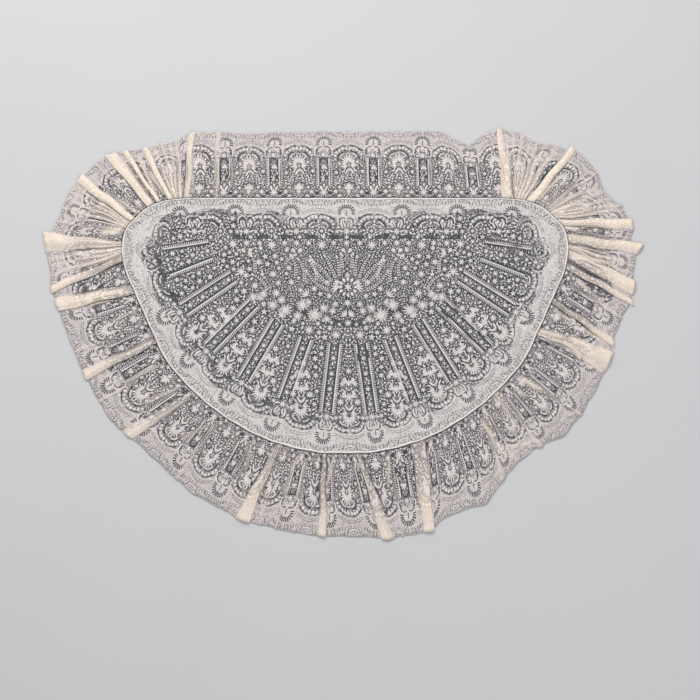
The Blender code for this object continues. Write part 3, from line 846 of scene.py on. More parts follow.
def bouquet():
    """The leaf dome, two bright flowers and the hanging leaves under an arch."""
    found = []
    for degrees, length in ((9, 10.6), (29, 8.6), (50, 10.2), (72, 7.6)):
        found += leaves((0.4, 22.0, length, 2.2, degrees))
        found.append(opening(radial(0.4, 22.0, 5.0, 7.4, degrees + 10, 0.6)))
    for degrees, length in ((98, 8.6), (121, 6.4), (145, 7.8)):
        found += leaves((1.6, 24.4, length, 1.7, degrees))
        found.append(opening(radial(1.6, 24.4, 4.4, 6.6, degrees + 11, 0.5)))
    found += flower(4.4, 22.6, 3.2, 7) + flower(8.9, 21.8, 2.3, 6)
    found += leaves((1.0, 28.4, 7.4, 2.2, 152), (3.6, 29.4, 5.0, 1.7, 120), (5.4, 37.0, 4.6, 1.6, 60))
    found += leaves((1.6, 33.4, 4.4, 1.7, 168), (2.2, 36.8, 3.6, 1.5, 150))
    return mirrored(found) + flower(0, 29.6, 2.2, 6)


def arch_foot(y):
    """The fan cup and the flowers along the seam under an arch."""
    found = leaves((0.2, y, 6.2, 1.7, 20), (0.2, y, 7.4, 1.7, 46), (0.2, y, 6.0, 1.7, 74))
    found += [opening(radial(0.2, y, 3.8, 6.0, degrees, 0.6)) for degrees in (33, 60)]
    found += flower(9.4, y - 2.2, 2.3, 6) + flower(13.0, y + 2.2, 3.1, 7)
    found += beads((9.8, y - 9.0, 1.3)) + leaves((12.0, y - 5.0, 4.4, 1.6, 35))
    return mirrored(found) + leaves((0, y, 7.2, 1.7, 0)) + flower(0, y + 2.2, 3.2, 7)


def shape_middle(shape):
    return shape.rim.mean(axis=0)


class Crowd:
    """Where the ground is taken, so that small shapes can be set between the motifs."""

    def __init__(self, shapes):
        self.cells = {}
        for shape in shapes:
            middle = shape_middle(shape)
            side = np.roll(shape.rim, -1, axis=0) - shape.rim
            parts = max(1, math.ceil(np.hypot(*side.T).max()))
            rim = np.concatenate([shape.rim + side * step / parts for step in range(parts)])
            self.add(*middle, np.hypot(*(rim - middle).T).min())
            for x, y in rim:
                self.add(x, y, 0.15)

    def add(self, x, y, reach):
        self.cells.setdefault((x // CELL, y // CELL), []).append((x, y, reach))

    def taken(self, x, y, size):
        for column in (x // CELL - 1, x // CELL, x // CELL + 1):
            for row in (y // CELL - 1, y // CELL, y // CELL + 1):
                for other_x, other_y, reach in self.cells.get((column, row), ()):
                    if math.hypot(x - other_x, y - other_y) < size + reach:
                        return True
        return False


def filler(half_width, start, end, taken, passes, seed, inside=None):
    """Small flowers, then leaves, then dots between the motifs, up to a half width to each side."""
    crowd = Crowd(taken)
    source = random.Random(seed)
    found = []
    for kind, tries, smallest, largest, gap in passes:
        for _ in range(int(tries * half_width * (end - start))):
            x, y = source.uniform(0.3, half_width), source.uniform(start, end)
            size = source.uniform(smallest, largest)
            if inside and not inside(x, y) or crowd.taken(x, y, size + gap):
                continue
            turn = source.uniform(0, 360)
            if kind == "flower" and x > size:
                crowd.add(x, y, size)
                found += flower(x, y, size, source.choice((5, 6)), turn)
            elif kind == "leaf":
                crowd.add(x, y, size)
                tip = leaf(0, 0, 2.6 * size, 1.3 * size, turn)
                found.append(thread(tip + (x, y) - tip.mean(axis=0)))
            elif kind == "dot":
                crowd.add(x, y, size)
                found.append(thread(oval(x, y, size, sides=5)))
    return mirrored(found)


def flounce_repeat():
    """One whole repeat of the edging, its shell at x = 0."""
    at_shell = hem_ribs() + shell_head() + niche() + niche_foot()
    at_shell += bars(18.4, 45.0, 5.4, 5.4) + foot_star(51.8)
    at_arch = moved(arch_head() + bouquet() + arch_foot(49.2), REPEAT / 2)
    taken = at_shell + at_arch
    return taken + filler(REPEAT / 2, 5.0, SHELL_TO_SEAM - 1.2, taken, FLOUNCE_FILLER, seed=11)


# Shapes ready to lay: all their points with the middle of each first, the height of each point above the
# cloth, then for each shape where its points start, how many there are, and whether it is an opening
Pieces = namedtuple("Pieces", "points height start count dark")


def gathered_shapes(shapes):
    points, height, start, count = [], [], [], []
    total = 0
    for shape in shapes:
        start.append(total)
        count.append(len(shape.rim) + 1)
        points.append(shape_middle(shape)[None, :])
        points.append(shape.rim)
        height += [shape.top] + [shape.foot] * len(shape.rim)
        total += count[-1]
    dark = np.array([shape.dark for shape in shapes])
    return Pieces(np.concatenate(points), np.array(height), np.array(start), np.array(count), dark)


def sampled(grid, column, row):
    """Values of a grid between its columns and rows."""
    low_column = np.clip(column.astype(int), 0, grid.shape[0] - 2)
    low_row = np.clip(row.astype(int), 0, grid.shape[1] - 2)
    across = (column - low_column)[:, None]
    down = (row - low_row)[:, None]
    near = grid[low_column, low_row] * (1 - across) + grid[low_column + 1, low_row] * across
    far = grid[low_column, low_row + 1] * (1 - across) + grid[low_column + 1, low_row + 1] * across
    return near * (1 - down) + far * down


def column_of(repeat, at, row):
    """The column, with its share, at which each count of repeats is reached in its own row of a facet."""
    counter = np.arange(len(repeat))
    column = np.zeros_like(at)
    low = np.clip(row.astype(int), 0, DEPTH_ROWS - 2)
    for number in np.unique(low):
        here = low == number
        below = np.interp(at[here], repeat[:, number], counter)
        above = np.interp(at[here], repeat[:, number + 1], counter)
        column[here] = below + (row[here] - number) * (above - below)
    return column


def laid_on_cloth(cloth, pieces):
    """Every shape that shows on one length: all points, their creaminess, and which shapes are kept."""
    depth = pieces.points[:, 1]
    points, creams, kept = [], [], []
    for first, last, repeat in cloth.facets:
        middle = (first + last) // 2
        if last - first < 3 or not cloth.shown[middle]:
            continue
        shell = cloth.shell_share[middle]
        above = shell * (1 + depth / HEM_TO_SHELL)
        below = shell + depth / SHELL_TO_SEAM * (1 - shell)
        row = np.where(depth < 0, above, below) * (DEPTH_ROWS - 1)
        for number in range(math.floor(repeat.min()) - 1, math.ceil(repeat.max()) + 1):
            at = number + pieces.points[:, 0] / REPEAT
            column = first + column_of(repeat, at, row)
            usable = (column > first + 0.01) & (column < last - 0.01)
            usable &= (row > 0.1) & (row < DEPTH_ROWS - 1.1)
            place = sampled(cloth.points, column, row)
            points.append(place + pieces.height[:, None] * sampled(cloth.normals, column, row))
            creams.append(sampled(cloth.cream[..., None], column, row)[:, 0])
            kept.append(np.logical_and.reduceat(usable, pieces.start))
    return np.concatenate(points), np.concatenate(creams), np.concatenate(kept), len(kept)


def add_mesh(name, points, faces, materials):
    mesh = bpy.data.meshes.new(name)
    mesh.from_pydata(points, [], faces)
    for material in materials:
        mesh.materials.append(material)
    mesh.shade_smooth()
    obj = bpy.data.objects.new(name, mesh)
    bpy.context.scene.collection.objects.link(obj)
    return obj


def set_numbers(mesh, name, values):
    """A number at each point of a mesh, for its material."""
    attribute = mesh.attributes.new(name, "FLOAT", "POINT")
    attribute.data.foreach_set("value", np.asarray(values, dtype=np.float32))


def add_motifs(name, points, cream, pieces, kept, repeats, materials):
    """One mesh of all the shapes kept, each a low fan of triangles round its raised middle."""
    size = len(pieces.points)
    vertices, faces, dark, creams, shades = [], [], [], [], []
    source = random.Random(name)
    for number in range(repeats):
        for shape in range(len(pieces.start)):
            if not kept[number * len(pieces.start) + shape]:
                continue
            first = number * size + pieces.start[shape]
            count = pieces.count[shape]
            ring = points[first + 1:first + count]
            turn = np.cross(ring[1] - ring[0], ring[2] - ring[0])[2]
            base = len(vertices)
            vertices.extend(points[first:first + count])
            creams.extend(cream[first:first + count])
            shades.extend([source.random()] * count)
            rims = list(range(base + 1, base + count))
            pairs = zip(rims, rims[1:] + rims[:1])
            faces += [(base, a, b) if turn > 0 else (base, b, a) for a, b in pairs]
            dark += [int(pieces.dark[shape])] * (count - 1)
    obj = add_mesh(name, np.array(vertices), faces, materials)
    obj.data.polygons.foreach_set("material_index", dark)
    set_numbers(obj.data, "cream", creams)
    set_numbers(obj.data, "shade", shades)
    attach(obj, "root")
    return obj


def add_sheet(name, points, chart, below_band, cream, closed, material):
    """A thin sheet through a grid of points, with the chart as its UV map and numbers for its material."""
    columns, rows = points.shape[:2]
    index = np.arange(columns * rows).reshape(columns, rows)
    following = np.roll(index, -1, axis=0) if closed else index[1:]
    here = index if closed else index[:-1]
    faces = np.stack((here[:, :-1], following[:, :-1], following[:, 1:], here[:, 1:]), axis=-1)
    faces = faces.reshape(-1, 4).tolist()
    if closed:
        faces.append(here[:, -1].tolist())
    obj = add_mesh(name, points.reshape(-1, 3), faces, [material])
    layer = obj.data.uv_layers.new(name="chart")
    corners = np.empty(len(obj.data.loops), dtype=np.int32)
    obj.data.loops.foreach_get("vertex_index", corners)
    layer.data.foreach_set("uv", chart.reshape(-1, 2)[corners].ravel().astype(np.float32))
    set_numbers(obj.data, "cream", cream.ravel())
    set_numbers(obj.data, "below_band", below_band.ravel())
    thickness = obj.modifiers.new("net", "SOLIDIFY")
    thickness.thickness = NET_THICKNESS
    thickness.offset = -1.0
    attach(obj, "root")
    return obj


def add_flounce(net, threads):
    """The sheet and motifs of each length of the flounce."""
    pieces = gathered_shapes(flounce_repeat())
    for name, columns in flounce_lengths().items():
        cloth = make_cloth(name, columns)
        depth = chart_depths(cloth)
        chart = np.stack((cloth.repeat * REPEAT, depth), axis=-1)
        below = depth - band_edge(cloth.repeat)
        sheet = add_sheet(name + "_net", cloth.points, chart, below, cloth.cream, False, net)
        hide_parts(name)
        points, cream, kept, repeats = laid_on_cloth(cloth, pieces)
        motifs = add_motifs(name + "_motifs", points, cream, pieces, kept, repeats, threads)


def axis_shift(y):
    """How far the panel's axis lies from the middle at a height, all in chart steps: it leans a little."""
    return 1.5 + (DARK_BAND_Y - y) * 0.015


def panel_height(x, y):
    """Height of the panel's cloth over points in metres."""
    return WALL + PANEL_LIFT + 0.7 * UNDULATION * undulation(x, y) + creased(x, y)[0]


def panel_band(angles):
    """Depth in steps of the dense band along the panel's edge, less along its straight side."""
    upper = eased_step(np.sin(np.radians(angles)), 0.35, 0.75)
    return DEEP_HEM_TO_SHELL + upper * (PANEL_TOP_BAND - DEEP_HEM_TO_SHELL)


# Round the panel: finely cut directions, how far each is along the edge in steps, then where the shells are
# along it, with one more before and two after, their counts, and whether each has a fan
Ring = namedtuple("Ring", "angles run shells counts fans")


def panel_ring():
    angles = np.linspace(0, 360, PANEL_SPOKE_STEPS + 1)
    run = run_lengths(edge_radius(angles)[:, None] * direction(angles) / STEP)
    left = [(spoke.x, spoke.y, True) for spoke in SPOKES[:-1]]
    left += [(x, y, False) for x, y in PLAIN_MEETINGS]
    left += [(x, TOP_SHELL_Y, True) for x in TOP_SHELLS]
    every = left + [(0.0, TOP_SHELL_Y, True)] + [(-x, y, fan) for x, y, fan in left]
    ordered = sorted((math.degrees(math.atan2(y, x + axis_shift(y))) % 360, fan) for x, y, fan in every)
    shells = np.interp([angle for angle, _ in ordered], angles, run)
    shells = np.concatenate((shells[-1:] - run[-1], shells, shells[:2] + run[-1]))
    return Ring(angles, run, shells, np.arange(-1, len(shells) - 1), [fan for _, fan in ordered])


def on_ring(shapes, number, ring):
    """Shapes of the edging laid along the panel's edge, their x = 0 at a shell or between two by its number."""
    found = []
    for shape in shapes:
        along = np.interp(number - shape.rim[:, 0] / REPEAT, ring.counts, ring.shells) % ring.run[-1]
        degrees = np.interp(along, ring.run, ring.angles)
        out = direction(degrees)
        turn = edge_radius(degrees + 1.0) * 0.5 - edge_radius(degrees - 1.0) * 0.5
        slope = (turn / math.radians(1.0) / edge_radius(degrees))[:, None]
        outward = out - slope * np.stack((-out[:, 1], out[:, 0]), axis=-1)
        outward /= np.linalg.norm(outward, axis=-1, keepdims=True)
        band = panel_band(degrees)
        y = shape.rim[:, 1]
        depth = np.where(y < 0, band * (1 + y / HEM_TO_SHELL), band + y)
        place = edge_radius(degrees)[:, None] / STEP * out - depth[:, None] * outward
        place[:, 0] -= axis_shift(place[:, 1])
        found.append(shape._replace(rim=place))
    return found


def framed(shapes, x, y, toward_x, toward_y):
    """Shapes set down with their x = 0, y = 0 at a point and their depth running towards another."""
    origin = np.array((x, y), float)
    inward = np.array((toward_x, toward_y), float) - origin
    inward /= np.hypot(*inward)
    aside = np.array((-inward[1], inward[0]))
    found = []
    for shape in shapes:
        found.append(shape._replace(rim=origin + shape.rim[:, :1] * aside + shape.rim[:, 1:] * inward))
    return found


def cup():
    """The tulip under each shell of the panel, with its ring and bright flower."""
    found = slit(0.9, (6.6, 12.5), (6.4, 9.4), (4.0, 7.8), (1.4, 8.4))
    found += strand(1.3, (8.4, 13.0), (8.2, 8.6), (5.0, 5.8), (1.2, 6.2))
    found += strand(1.9, (4.9, 10.6), (5.3, 14.0), (3.6, 17.5))
    found += leaves((1.2, 18.0, 7.4, 2.2, 16), (3.0, 22.5, 5.6, 2.0, 62))
    found += [opening(leaf(2.6, 18.0, 5.0, 0.8, 10))] + flower(9.4, 21.6, 2.6, 6)
    return mirrored(found) + flower(0, 21.4, 4.0, 8)


def star_band(length):
    """The stars and dots along the middle of a pair of bars."""
    found = []
    y = STAR_START
    while y < length - STAR_CLEAR:
        found += flower(0, y, 2.9, 7) + beads((1.6, y + 5.4, 1.1), (-1.6, y + 6.4, 0.9))
        found += leaves((0, y + 12.0, 4.4, 1.9, 4))
        y += STAR_PITCH
    return found


def vine():
    """The curly leaves and flowers under an arch on the panel's curved side."""
    found = leaves((2.2, 48.6, 6.4, 2.2, 50), (2.4, 61.5, 5.4, 2.0, 58))
    found += strand(1.1, (3.4, 47), (7.0, 49.5), (9.4, 47.0))
    found += flower(8.6, 37.0, 4.0, 8) + flower(6.4, 55.0, 3.2, 7)
    for degrees in (110, 135, 160):
        found += leaves((2.4, 41.0, 7.2, 1.8, degrees), (2.0, 56.0, 6.0, 1.6, degrees))
    found += leaves((9.6, 44.0, 3.4, 1.2, 150), (11.6, 43.0, 3.4, 1.2, 120))
    found += leaves((5.6, 66.0, 3.4, 1.2, 150), (6.8, 63.8, 3.4, 1.2, 120))
    found = mirrored(found)
    return found + flower(0, 42.0, 5.2, 9) + flower(0, 56.0, 4.4, 8) + flower(0, 68.0, 3.8, 8)


def pendant():
    """The pot of flowers that hangs below the dark band under a shell."""
    found = beads((3.6, 70.0, 2.3, 2.0)) + leaves((1.6, 66.5, 5.4, 1.9, 160))
    found += leaves((3.4, 63.0, 3.6, 1.5, 150), (7.6, 73.0, 3.6, 1.5, 60))
    return mirrored(found) + flower(0, 77.0, 3.8, 8)


def spray(x, y, turn, bend, pairs):
    """A bent branch of small paired leaves."""
    source = random.Random(round(x * 7 + y))
    found = []
    for pair in range(pairs):
        size = (3.0 - 1.2 * pair / pairs) * source.uniform(0.85, 1.15)
        found += leaves((x, y, size, 1.25, turn + 42), (x, y, size, 1.25, turn - 42))
        x += 2.5 * math.sin(math.radians(turn))
        y -= 2.5 * math.cos(math.radians(turn))
        turn += bend
    return found + beads((x, y, 1.3))


def blossom(x, y, size):
    """A full flower of long uneven petals over a ring of small openings."""
    source = random.Random(round(size * 10 - x))
    found = []
    petals = round(9 + size)
    for step in range(petals):
        turn = 360 * step / petals + source.uniform(-8, 8)
        length = size * source.uniform(0.8, 1.2)
        found += leaves((x, y, length, 3.3 * size / petals, turn))
        found.append(opening(radial(x, y, 0.42 * size, 0.8 * size, turn + 180 / petals, 0.42)))
    return found + [shape._replace(top=BALL_TOP) for shape in flower(x, y, 0.42 * size, 5)]


def panel_half():
    """Motifs of the left half of the panel that stand clear of its edge, about its own axis."""
    half = []
    for spoke in SPOKES:
        length = math.hypot(spoke.star_x - spoke.x, spoke.star_y - spoke.y)
        line = star_band(length) + bars(spoke.start, spoke.end, spoke.half_start, spoke.half_end)
        if spoke is not SPOKES[-1]:
            line += cup()
        half += framed(line, spoke.x, spoke.y, spoke.star_x, spoke.star_y)
        half += flower(spoke.star_x, spoke.star_y, 5.2, 8)
    for x in TOP_SHELLS:
        half += framed(cup(), x, TOP_SHELL_Y, x, 0)
    for x in (-25.0, -75.0, -126.0):
        half += framed(rosette(0, 21.0, 5.6, 10), x, TOP_SHELL_Y, x, 0)
    for first, second in zip(SPOKES, SPOKES[1:-1]):
        x, y = (first.x + second.x) / 2, (first.y + second.y) / 2
        half += framed(bouquet() + vine(), x, y, *ARCH_FOCUS)
    for row in MEDALLION:
        half += flower(*row)
    for row in GARLAND:
        half += blossom(*row)
    for x in (-50.0, -100.0):
        half += moved(pendant(), x)
    for x in (-25.0, -75.0):
        half += flower(x, 75.0, 5.4, 8)
    for x in (-13.0, -38.0, -62.0, -87.0):
        half += flower(x, 77.0, 3.4, 6)
    for x in (-23.0, -47.0, -71.0, -96.0):
        half += flower(x, DARK_BAND_Y, 2.7, 6)
        half += beads((x - 4.4, DARK_BAND_Y, 0.8), (x + 4.4, DARK_BAND_Y, 0.8))
    for x, y in ((-8.5, -4.4), (-16.5, -2.6), (-24.5, -0.6), (-32.0, 2.0)):
        half += flower(x, y, 2.3, 6)
    for row in SPRAYS:
        half += spray(*row)
    for turn in (200, 226, 252, 278, 304):
        half += leaves((-9.0, 32.0, 8.4, 1.7, turn), (-40.0, 24.0, 8.4, 1.5, turn - 30))
    for turn in (184, 206, 228, 250, 272):
        half += leaves((-1.2, 4.0, 7.4, 1.5, turn))
        half.append(opening(radial(-1.2, 4.0, 4.4, 6.6, turn + 11, 0.5)))
    return half


def panel_ground(x, y):
    """Whether small shapes may lie at a point of the panel, in chart steps to the side of its axis."""
    angle = math.degrees(math.atan2(y, x))
    if edge_radius(angle) / STEP - math.hypot(x, y) < panel_band(angle) + 5.0:
        return False
    if abs(y - DARK_BAND_Y) < 2.4 and x < DARK_BAND_HALF:
        return False
    for spoke in SPOKES:
        run_x, run_y = spoke.star_x - spoke.x, spoke.star_y - spoke.y
        length = math.hypot(run_x, run_y)
        along = ((-x - spoke.x) * run_x + (y - spoke.y) * run_y) / length
        aside = abs((-x - spoke.x) * run_y - (y - spoke.y) * run_x) / length
        part = (along - spoke.start) / (spoke.end - spoke.start)
        half = spoke.half_start + part * (spoke.half_end - spoke.half_start)
        if 0.0 < part < 1.0 and half + 0.5 < aside < half + 4.4:
            return False
    return True


def in_medallion(x, y):
    return y < DARK_BAND_Y - 3.0 and math.hypot(x, y - DARK_BAND_Y) < MEDALLION_RADIUS


def medallion_ground(x, y):
    """Whether small shapes may lie at a point of the medallion, to the side of its axis."""
    radius = math.hypot(x, y - DARK_BAND_Y)
    return in_medallion(x, y) and not (DARK_ARC[0] < radius < DARK_ARC[1] and y < 14.0)


def outer_ground(x, y):
    return not in_medallion(x, y) and panel_ground(x, y)


def on_axis():
    """Motifs that lie across the panel's axis."""
    found = framed(cup(), 0, TOP_SHELL_Y, 0, 0) + flower(0.0, 83.0, 2.6, 6)
    found += framed(bouquet() + vine(), 0, -119, 0, 0)
    found += pendant() + rosette(0.6, 33.0, 10.4, 12) + blossom(0.4, 45.0, 3.4)
    found += flower(0.0, 17.0, 4.2, 8) + flower(0.0, -3.0, 4.0, 8)
    return found


def round_edge():
    """Shells, arches and the dense ribbed band all round the panel."""
    ring = panel_ring()
    found = []
    for number, fan in enumerate(ring.fans):
        found += on_ring(hem_ribs() + (shell_head() if fan else niche()), number, ring)
        found += on_ring(arch_head(), number + 0.5, ring)
    return found


def band_edge(repeat):
    """Depth to which the dense band reaches, least over the arches, by the count of repeats."""
    return BAND_REACH + BAND_WAVE * np.cos(2 * np.pi * repeat)


def leaned(shapes):
    """Shapes about the panel's axis, moved to where the leaning axis is."""
    found = []
    for shape in shapes:
        shift = axis_shift(shape.rim[:, 1])
        found.append(shape._replace(rim=shape.rim + np.stack((shift, np.zeros(len(shift))), axis=-1)))
    return found


def add_panel(net, threads, cord):
    """The sheet, motifs and rolled edge of the panel."""
    angles = np.linspace(0, 360, PANEL_SPOKE_STEPS, endpoint=False)
    share = np.linspace(0, PANEL_RINGS_END, PANEL_RING_STEPS) ** PANEL_RINGS_POWER
    band = panel_band(angles)
    edge = (edge_radius(angles) - PANEL_INSET)[:, None] * direction(angles)
    flat = MIDDLE + edge[:, None, :] * (1 - share)[None, :, None]
    points = np.concatenate((flat, panel_height(flat[..., 0], flat[..., 1])[..., None]), axis=-1)
    depth = edge_radius(angles)[:, None] * share[None, :] / STEP - band[:, None]
    ring = panel_ring()
    repeat = np.interp(ring.run[:-1], ring.shells, ring.counts)
    chart = np.stack((np.repeat(repeat[:, None] * REPEAT, len(share), axis=1), depth), axis=-1)
    below = depth - band_edge(repeat)[:, None]
    cream = creased(points[..., 0], points[..., 1])[1]
    sheet = add_sheet("panel_net", points, chart, below, cream, True, net)
    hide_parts("centre_panel")
    motifs = mirrored(panel_half()) + on_axis() + round_edge()
    reach = (MEDALLION_RADIUS, DARK_BAND_Y - MEDALLION_RADIUS, DARK_BAND_Y)
    fine = filler(*reach, motifs, MEDALLION_FILLER, seed=31, inside=medallion_ground)
    motifs += filler(*PANEL_REACH, motifs, PANEL_FILLER, seed=23, inside=outer_ground) + fine
    shapes = leaned(motifs)
    pieces = gathered_shapes(shapes)
    flat = MIDDLE + STEP * pieces.points
    height = panel_height(flat[:, 0], flat[:, 1]) + pieces.height
    place = np.concatenate((flat, height[:, None]), axis=-1)
    cream = creased(flat[:, 0], flat[:, 1])[1]
    kept = np.ones(len(shapes), bool)
    motifs = add_motifs("panel_motifs", place, cream, pieces, kept, 1, threads)
    add_rolled_edge(cord)


def add_rolled_edge(material):
    """The thin cord rolled along the panel's edge, waving a little."""
    angles = np.linspace(0, 360, ROLL_STEPS, endpoint=False)
    edge = edge_radius(angles)[:, None] * direction(angles)
    run = run_lengths(edge) / STEP
    waves = round(run[-1] / (REPEAT / 2))
    inset = ROLL_RADIUS + ROLL_WAVE * (1 - np.cos(2 * np.pi * waves * run / run[-1]))
    centre = MIDDLE + (edge_radius(angles) - inset)[:, None] * direction(angles)
    around = np.linspace(0, 2 * np.pi, ROLL_SIDES, endpoint=False)
    radius = ROLL_RADIUS * (1 + ROLL_SWELL * np.sin(run * ROLL_SWELLS))
    out = direction(angles)
    flat = centre[:, None, :] + (radius[:, None] * np.cos(around)[None, :])[..., None] * out[:, None, :]
    height = WALL + ROLL_LIFT + radius[:, None] * np.sin(around)[None, :]
    height = height + creased(centre[:, 0], centre[:, 1])[0][:, None]
    points = np.concatenate((flat, height[..., None]), axis=-1)
    index = np.arange(ROLL_STEPS * ROLL_SIDES).reshape(-1, ROLL_SIDES)
    after = np.roll(index, -1, axis=0)
    faces = np.stack((index, after, np.roll(after, -1, axis=1), np.roll(index, -1, axis=1)), axis=-1)
    roll = add_mesh("rolled_edge", points.reshape(-1, 3), faces.reshape(-1, 4).tolist(), [material])
    set_numbers(roll.data, "cream", np.zeros(len(roll.data.vertices)))
    set_numbers(roll.data, "shade", np.zeros(len(roll.data.vertices)))
    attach(roll, "root")
    return roll


class Nodes:
    """A material's node tree, with short ways to add the nodes used here."""

    def __init__(self, name):
        self.material = bpy.data.materials.new(name)
        self.material.use_nodes = True
        self.tree = self.material.node_tree
        self.shader = self.tree.nodes["Principled BSDF"]

    def add(self, kind, inputs=(), **settings):
        made = self.tree.nodes.new("ShaderNode" + kind)
        for key, value in settings.items():
            setattr(made, key, value)
        for key, value in dict(inputs).items():
            self.feed(made.inputs[key], value)
        return made

    def feed(self, socket, value):
        if isinstance(value, bpy.types.NodeSocket):
            self.tree.links.new(value, socket)
        else:
            socket.default_value = value

    def ramp(self, value, start, end, low=0.0, high=1.0):
        """A number eased from low to high as another goes from start to end."""
        inputs = {"Value": value, "From Min": start, "From Max": end, "To Min": low, "To Max": high}
        return self.add("MapRange", inputs, interpolation_type="SMOOTHSTEP").outputs["Result"]

    def math(self, operation, first, second):
        return self.add("Math", {0: first, 1: second}, operation=operation).outputs["Value"]

    def blend(self, factor, first, second):
        """A colour part of the way from the first to the second."""
        made = self.add("Mix", data_type="RGBA")
        self.feed(made.inputs["Factor"], factor)
        colours = [socket for socket in made.inputs if socket.type == "RGBA"]
        self.feed(colours[0], first)
        self.feed(colours[1], second)
        return next(socket for socket in made.outputs if socket.type == "RGBA")

    def noise(self, vector, scale, detail=2.0):
        inputs = {"Vector": vector, "Scale": scale, "Detail": detail}
        return self.add("TexNoise", inputs).outputs["Fac"]

    def number(self, name):
        return self.add("Attribute", attribute_name=name).outputs["Fac"]

    def finish(self, colour, height, bump):
        """Joins the colour and a fine relief to the shader, as matte thread with a little sheen."""
        self.feed(self.shader.inputs["Base Color"], colour)
        relief = self.add("Bump", {"Height": height, "Strength": bump, "Distance": 0.0006})
        self.feed(self.shader.inputs["Normal"], relief.outputs["Normal"])
        self.shader.inputs["Roughness"].default_value = 0.85
        self.shader.inputs["Sheen Weight"].default_value = 0.12
        self.shader.inputs["Specular IOR Level"].default_value = 0.25
        return self.material


def net_material(name, net, band, cover_share):
    """Fine net with dark holes, dense and ribbed along the hem, creamy where folded."""
    nodes = Nodes(name)
    place = nodes.add("TexCoord").outputs["Object"]
    chart = nodes.add("UVMap", uv_map="chart").outputs["UV"]
    below = nodes.number("below_band")
    holes = nodes.add("TexVoronoi", {"Vector": place, "Scale": 780.0}, feature="DISTANCE_TO_EDGE")
    mesh = nodes.ramp(holes.outputs["Distance"], 0.02, 0.22, 1.0, 0.0)
    mottle = nodes.ramp(nodes.noise(place, 300.0), 0.50, 0.66)
    lacy = nodes.ramp(nodes.noise(place, 210.0), 0.44, 0.56)
    slow = nodes.noise(place, 7.0)
    cover = nodes.math("MULTIPLY", mottle, cover_share)
    cover = nodes.math("ADD", cover, nodes.math("MULTIPLY", mesh, 0.08))
    near_band = nodes.ramp(below, 1.0, 20.0, 0.66, 0.0)
    cover = nodes.math("ADD", cover, nodes.math("MULTIPLY", lacy, near_band))
    ground = nodes.blend(cover, SLATE, net)
    ribs = nodes.add("TexWave", {"Vector": chart, "Scale": 0.21, "Distortion": 0.6, "Detail": 1.0})
    grain = nodes.ramp(nodes.noise(place, 290.0), 0.46, 0.66)
    shade = nodes.math("MULTIPLY", ribs.outputs["Fac"], 0.15)
    shade = nodes.math("ADD", shade, nodes.math("MULTIPLY", grain, 0.70))
    shade = nodes.math("ADD", shade, nodes.ramp(slow, 0.35, 0.7, 0.0, 0.12))
    dense = nodes.blend(shade, band, (band[0] * 0.50, band[1] * 0.50, band[2] * 0.53, 1.0))
    ragged = nodes.math("MULTIPLY", nodes.noise(place, 150.0), 6.0)
    in_band = nodes.ramp(nodes.math("ADD", below, ragged), 2.4, 3.8, 1.0, 0.0)
    colour = nodes.blend(in_band, ground, dense)
    streak = nodes.add("Mapping", {"Vector": chart, "Scale": (1.1, 0.16, 1.0)}).outputs["Vector"]
    streaks = nodes.noise(streak, 1.6, 3.0)
    creamy = nodes.math("MULTIPLY", nodes.number("cream"), nodes.ramp(streaks, 0.36, 0.62, 0.9, 1.0))
    folded = nodes.blend(nodes.math("MULTIPLY", grain, 0.8), CREAM_GROUND, FOLD_GRAIN)
    colour = nodes.blend(creamy, colour, folded)
    # Painted shade: thin dark lines along the creamy folds, darker where creamier, stand in for crease shade
    lines = nodes.add("Mapping", {"Vector": chart, "Scale": (0.9, 0.07, 1.0)}).outputs["Vector"]
    lines = nodes.ramp(nodes.noise(lines, 2.6, 2.0), 0.56, 0.66)
    lines = nodes.math("MULTIPLY", lines, nodes.ramp(nodes.number("cream"), 0.2, 0.8, 0.0, 0.4))
    colour = nodes.blend(lines, colour, PAINTED_CREASE_SHADE)
    relief = nodes.math("ADD", nodes.math("MULTIPLY", mesh, 0.4), nodes.math("MULTIPLY", streaks, 2.5))
    return nodes.finish(colour, relief, 0.5)


def thread_material(name, colour, dim):
    """Raised silky thread, each motif a little lighter or darker than the next."""
    nodes = Nodes(name)
    place = nodes.add("TexCoord").outputs["Object"]
    grain = nodes.ramp(nodes.noise(place, 900.0), 0.3, 0.7, 0.0, 0.25)
    tone = nodes.math("ADD", nodes.math("MULTIPLY", nodes.number("shade"), 0.5), grain)
    mixed = nodes.blend(tone, colour, dim)
    stain = nodes.ramp(nodes.noise(place, 9.0), 0.55, 0.8, 0.0, 0.25)
    mixed = nodes.blend(stain, mixed, (colour[0], colour[1] * 0.90, colour[2] * 0.80, 1.0))
    mixed = nodes.blend(nodes.ramp(nodes.number("cream"), 0.1, 1.0, 0.0, 0.9), mixed, CREAM)
    return nodes.finish(mixed, nodes.noise(place, 1500.0), 0.25)


def opening_material(name):
    """Dark openings in the lace, browner in the creamy folds."""
    nodes = Nodes(name)
    place = nodes.add("TexCoord").outputs["Object"]
    tone = nodes.ramp(nodes.noise(place, 500.0), 0.35, 0.7, 0.0, 0.35)
    mixed = nodes.blend(tone, OPENING, (0.17, 0.17, 0.185, 1.0))
    mixed = nodes.blend(nodes.ramp(nodes.number("cream"), 0.05, 0.65, 0.0, 0.86), mixed, CREAM_GROUND)
    return nodes.finish(mixed, nodes.noise(place, 1500.0), 0.1)


def floor_material():
    nodes = Nodes("floor_paint")
    place = nodes.add("TexCoord").outputs["Object"]
    darker = (FLOOR[0] * 0.97, FLOOR[1] * 0.97, FLOOR[2] * 0.98, 1.0)
    colour = nodes.blend(nodes.noise(place, 3.0), FLOOR, darker)
    return nodes.finish(colour, nodes.noise(place, 40.0), 0.02)


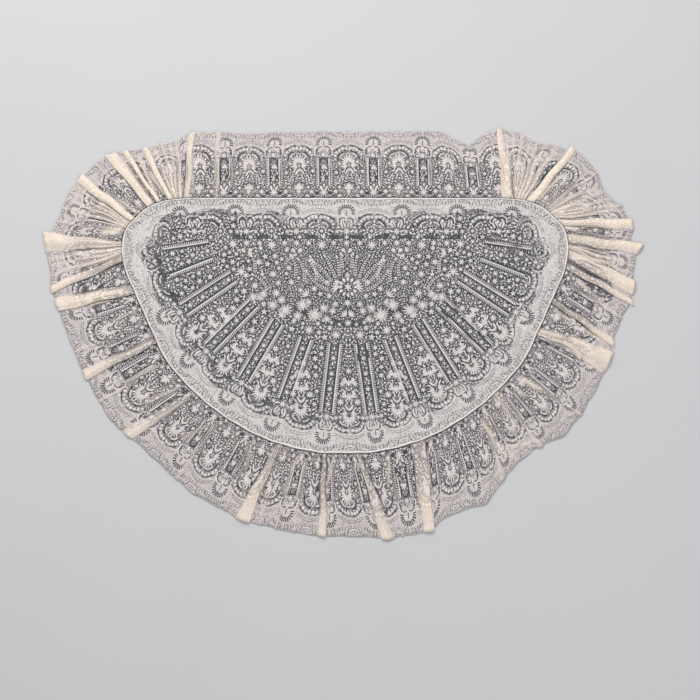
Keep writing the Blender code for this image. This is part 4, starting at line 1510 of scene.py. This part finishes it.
def add_stage():
    bpy.ops.mesh.primitive_plane_add(size=FLOOR_SIZE, location=(0.0, 0.0, FLOOR_HEIGHT))
    floor = bpy.context.object
    floor.name = "floor"
    floor.data.materials.append(floor_material())


def add_light(name, location, size, power, tint):
    light = bpy.data.lights.new(name, "AREA")
    light.size = size
    light.energy = power
    light.color = tint
    obj = bpy.data.objects.new(name, light)
    obj.location = location
    obj.rotation_mode = "QUATERNION"
    obj.rotation_quaternion = (-obj.location).to_track_quat("-Z", "Y")
    bpy.context.scene.collection.objects.link(obj)


def add_lights():
    for light in LIGHTS:
        add_light(*light)
    world = bpy.data.worlds.new("studio")
    world.use_nodes = True
    sky = world.node_tree.nodes["Background"]
    sky.inputs["Color"].default_value = SKY
    sky.inputs["Strength"].default_value = SKY_STRENGTH
    bpy.context.scene.world = world


def add_camera():
    camera = bpy.data.cameras.new("camera")
    camera.sensor_width = SENSOR
    camera.lens = SENSOR * CAMERA_HEIGHT / PHOTO_WIDTH
    camera.dof.use_dof = False
    obj = bpy.data.objects.new("camera", camera)
    obj.location = (CAMERA_X, CAMERA_Y, CAMERA_HEIGHT)
    bpy.context.scene.collection.objects.link(obj)
    bpy.context.scene.camera = obj
    bpy.context.scene.view_settings.view_transform = "Standard"


def add_lace():
    panel_thread = thread_material("panel_thread", PANEL_THREAD, PANEL_NET)
    flounce_thread = thread_material("flounce_thread", FLOUNCE_THREAD, FLOUNCE_NET)
    gap = opening_material("lace_opening")
    cord = thread_material("edge_cord", EDGE_CORD, PANEL_THREAD)
    add_panel(net_material("panel_net", PANEL_NET, PANEL_THREAD, 0.36), [panel_thread, gap], cord)
    add_flounce(net_material("flounce_net", FLOUNCE_NET, FLOUNCE_BAND, 0.44), [flounce_thread, gap])


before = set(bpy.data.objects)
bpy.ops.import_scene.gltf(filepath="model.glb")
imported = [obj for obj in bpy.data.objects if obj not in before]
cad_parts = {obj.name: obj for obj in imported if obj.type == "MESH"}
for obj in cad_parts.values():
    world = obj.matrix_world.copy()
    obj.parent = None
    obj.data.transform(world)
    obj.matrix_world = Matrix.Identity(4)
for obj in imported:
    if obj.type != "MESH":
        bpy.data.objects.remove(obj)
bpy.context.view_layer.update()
add_stage()
add_lights()
add_camera()
add_lace()
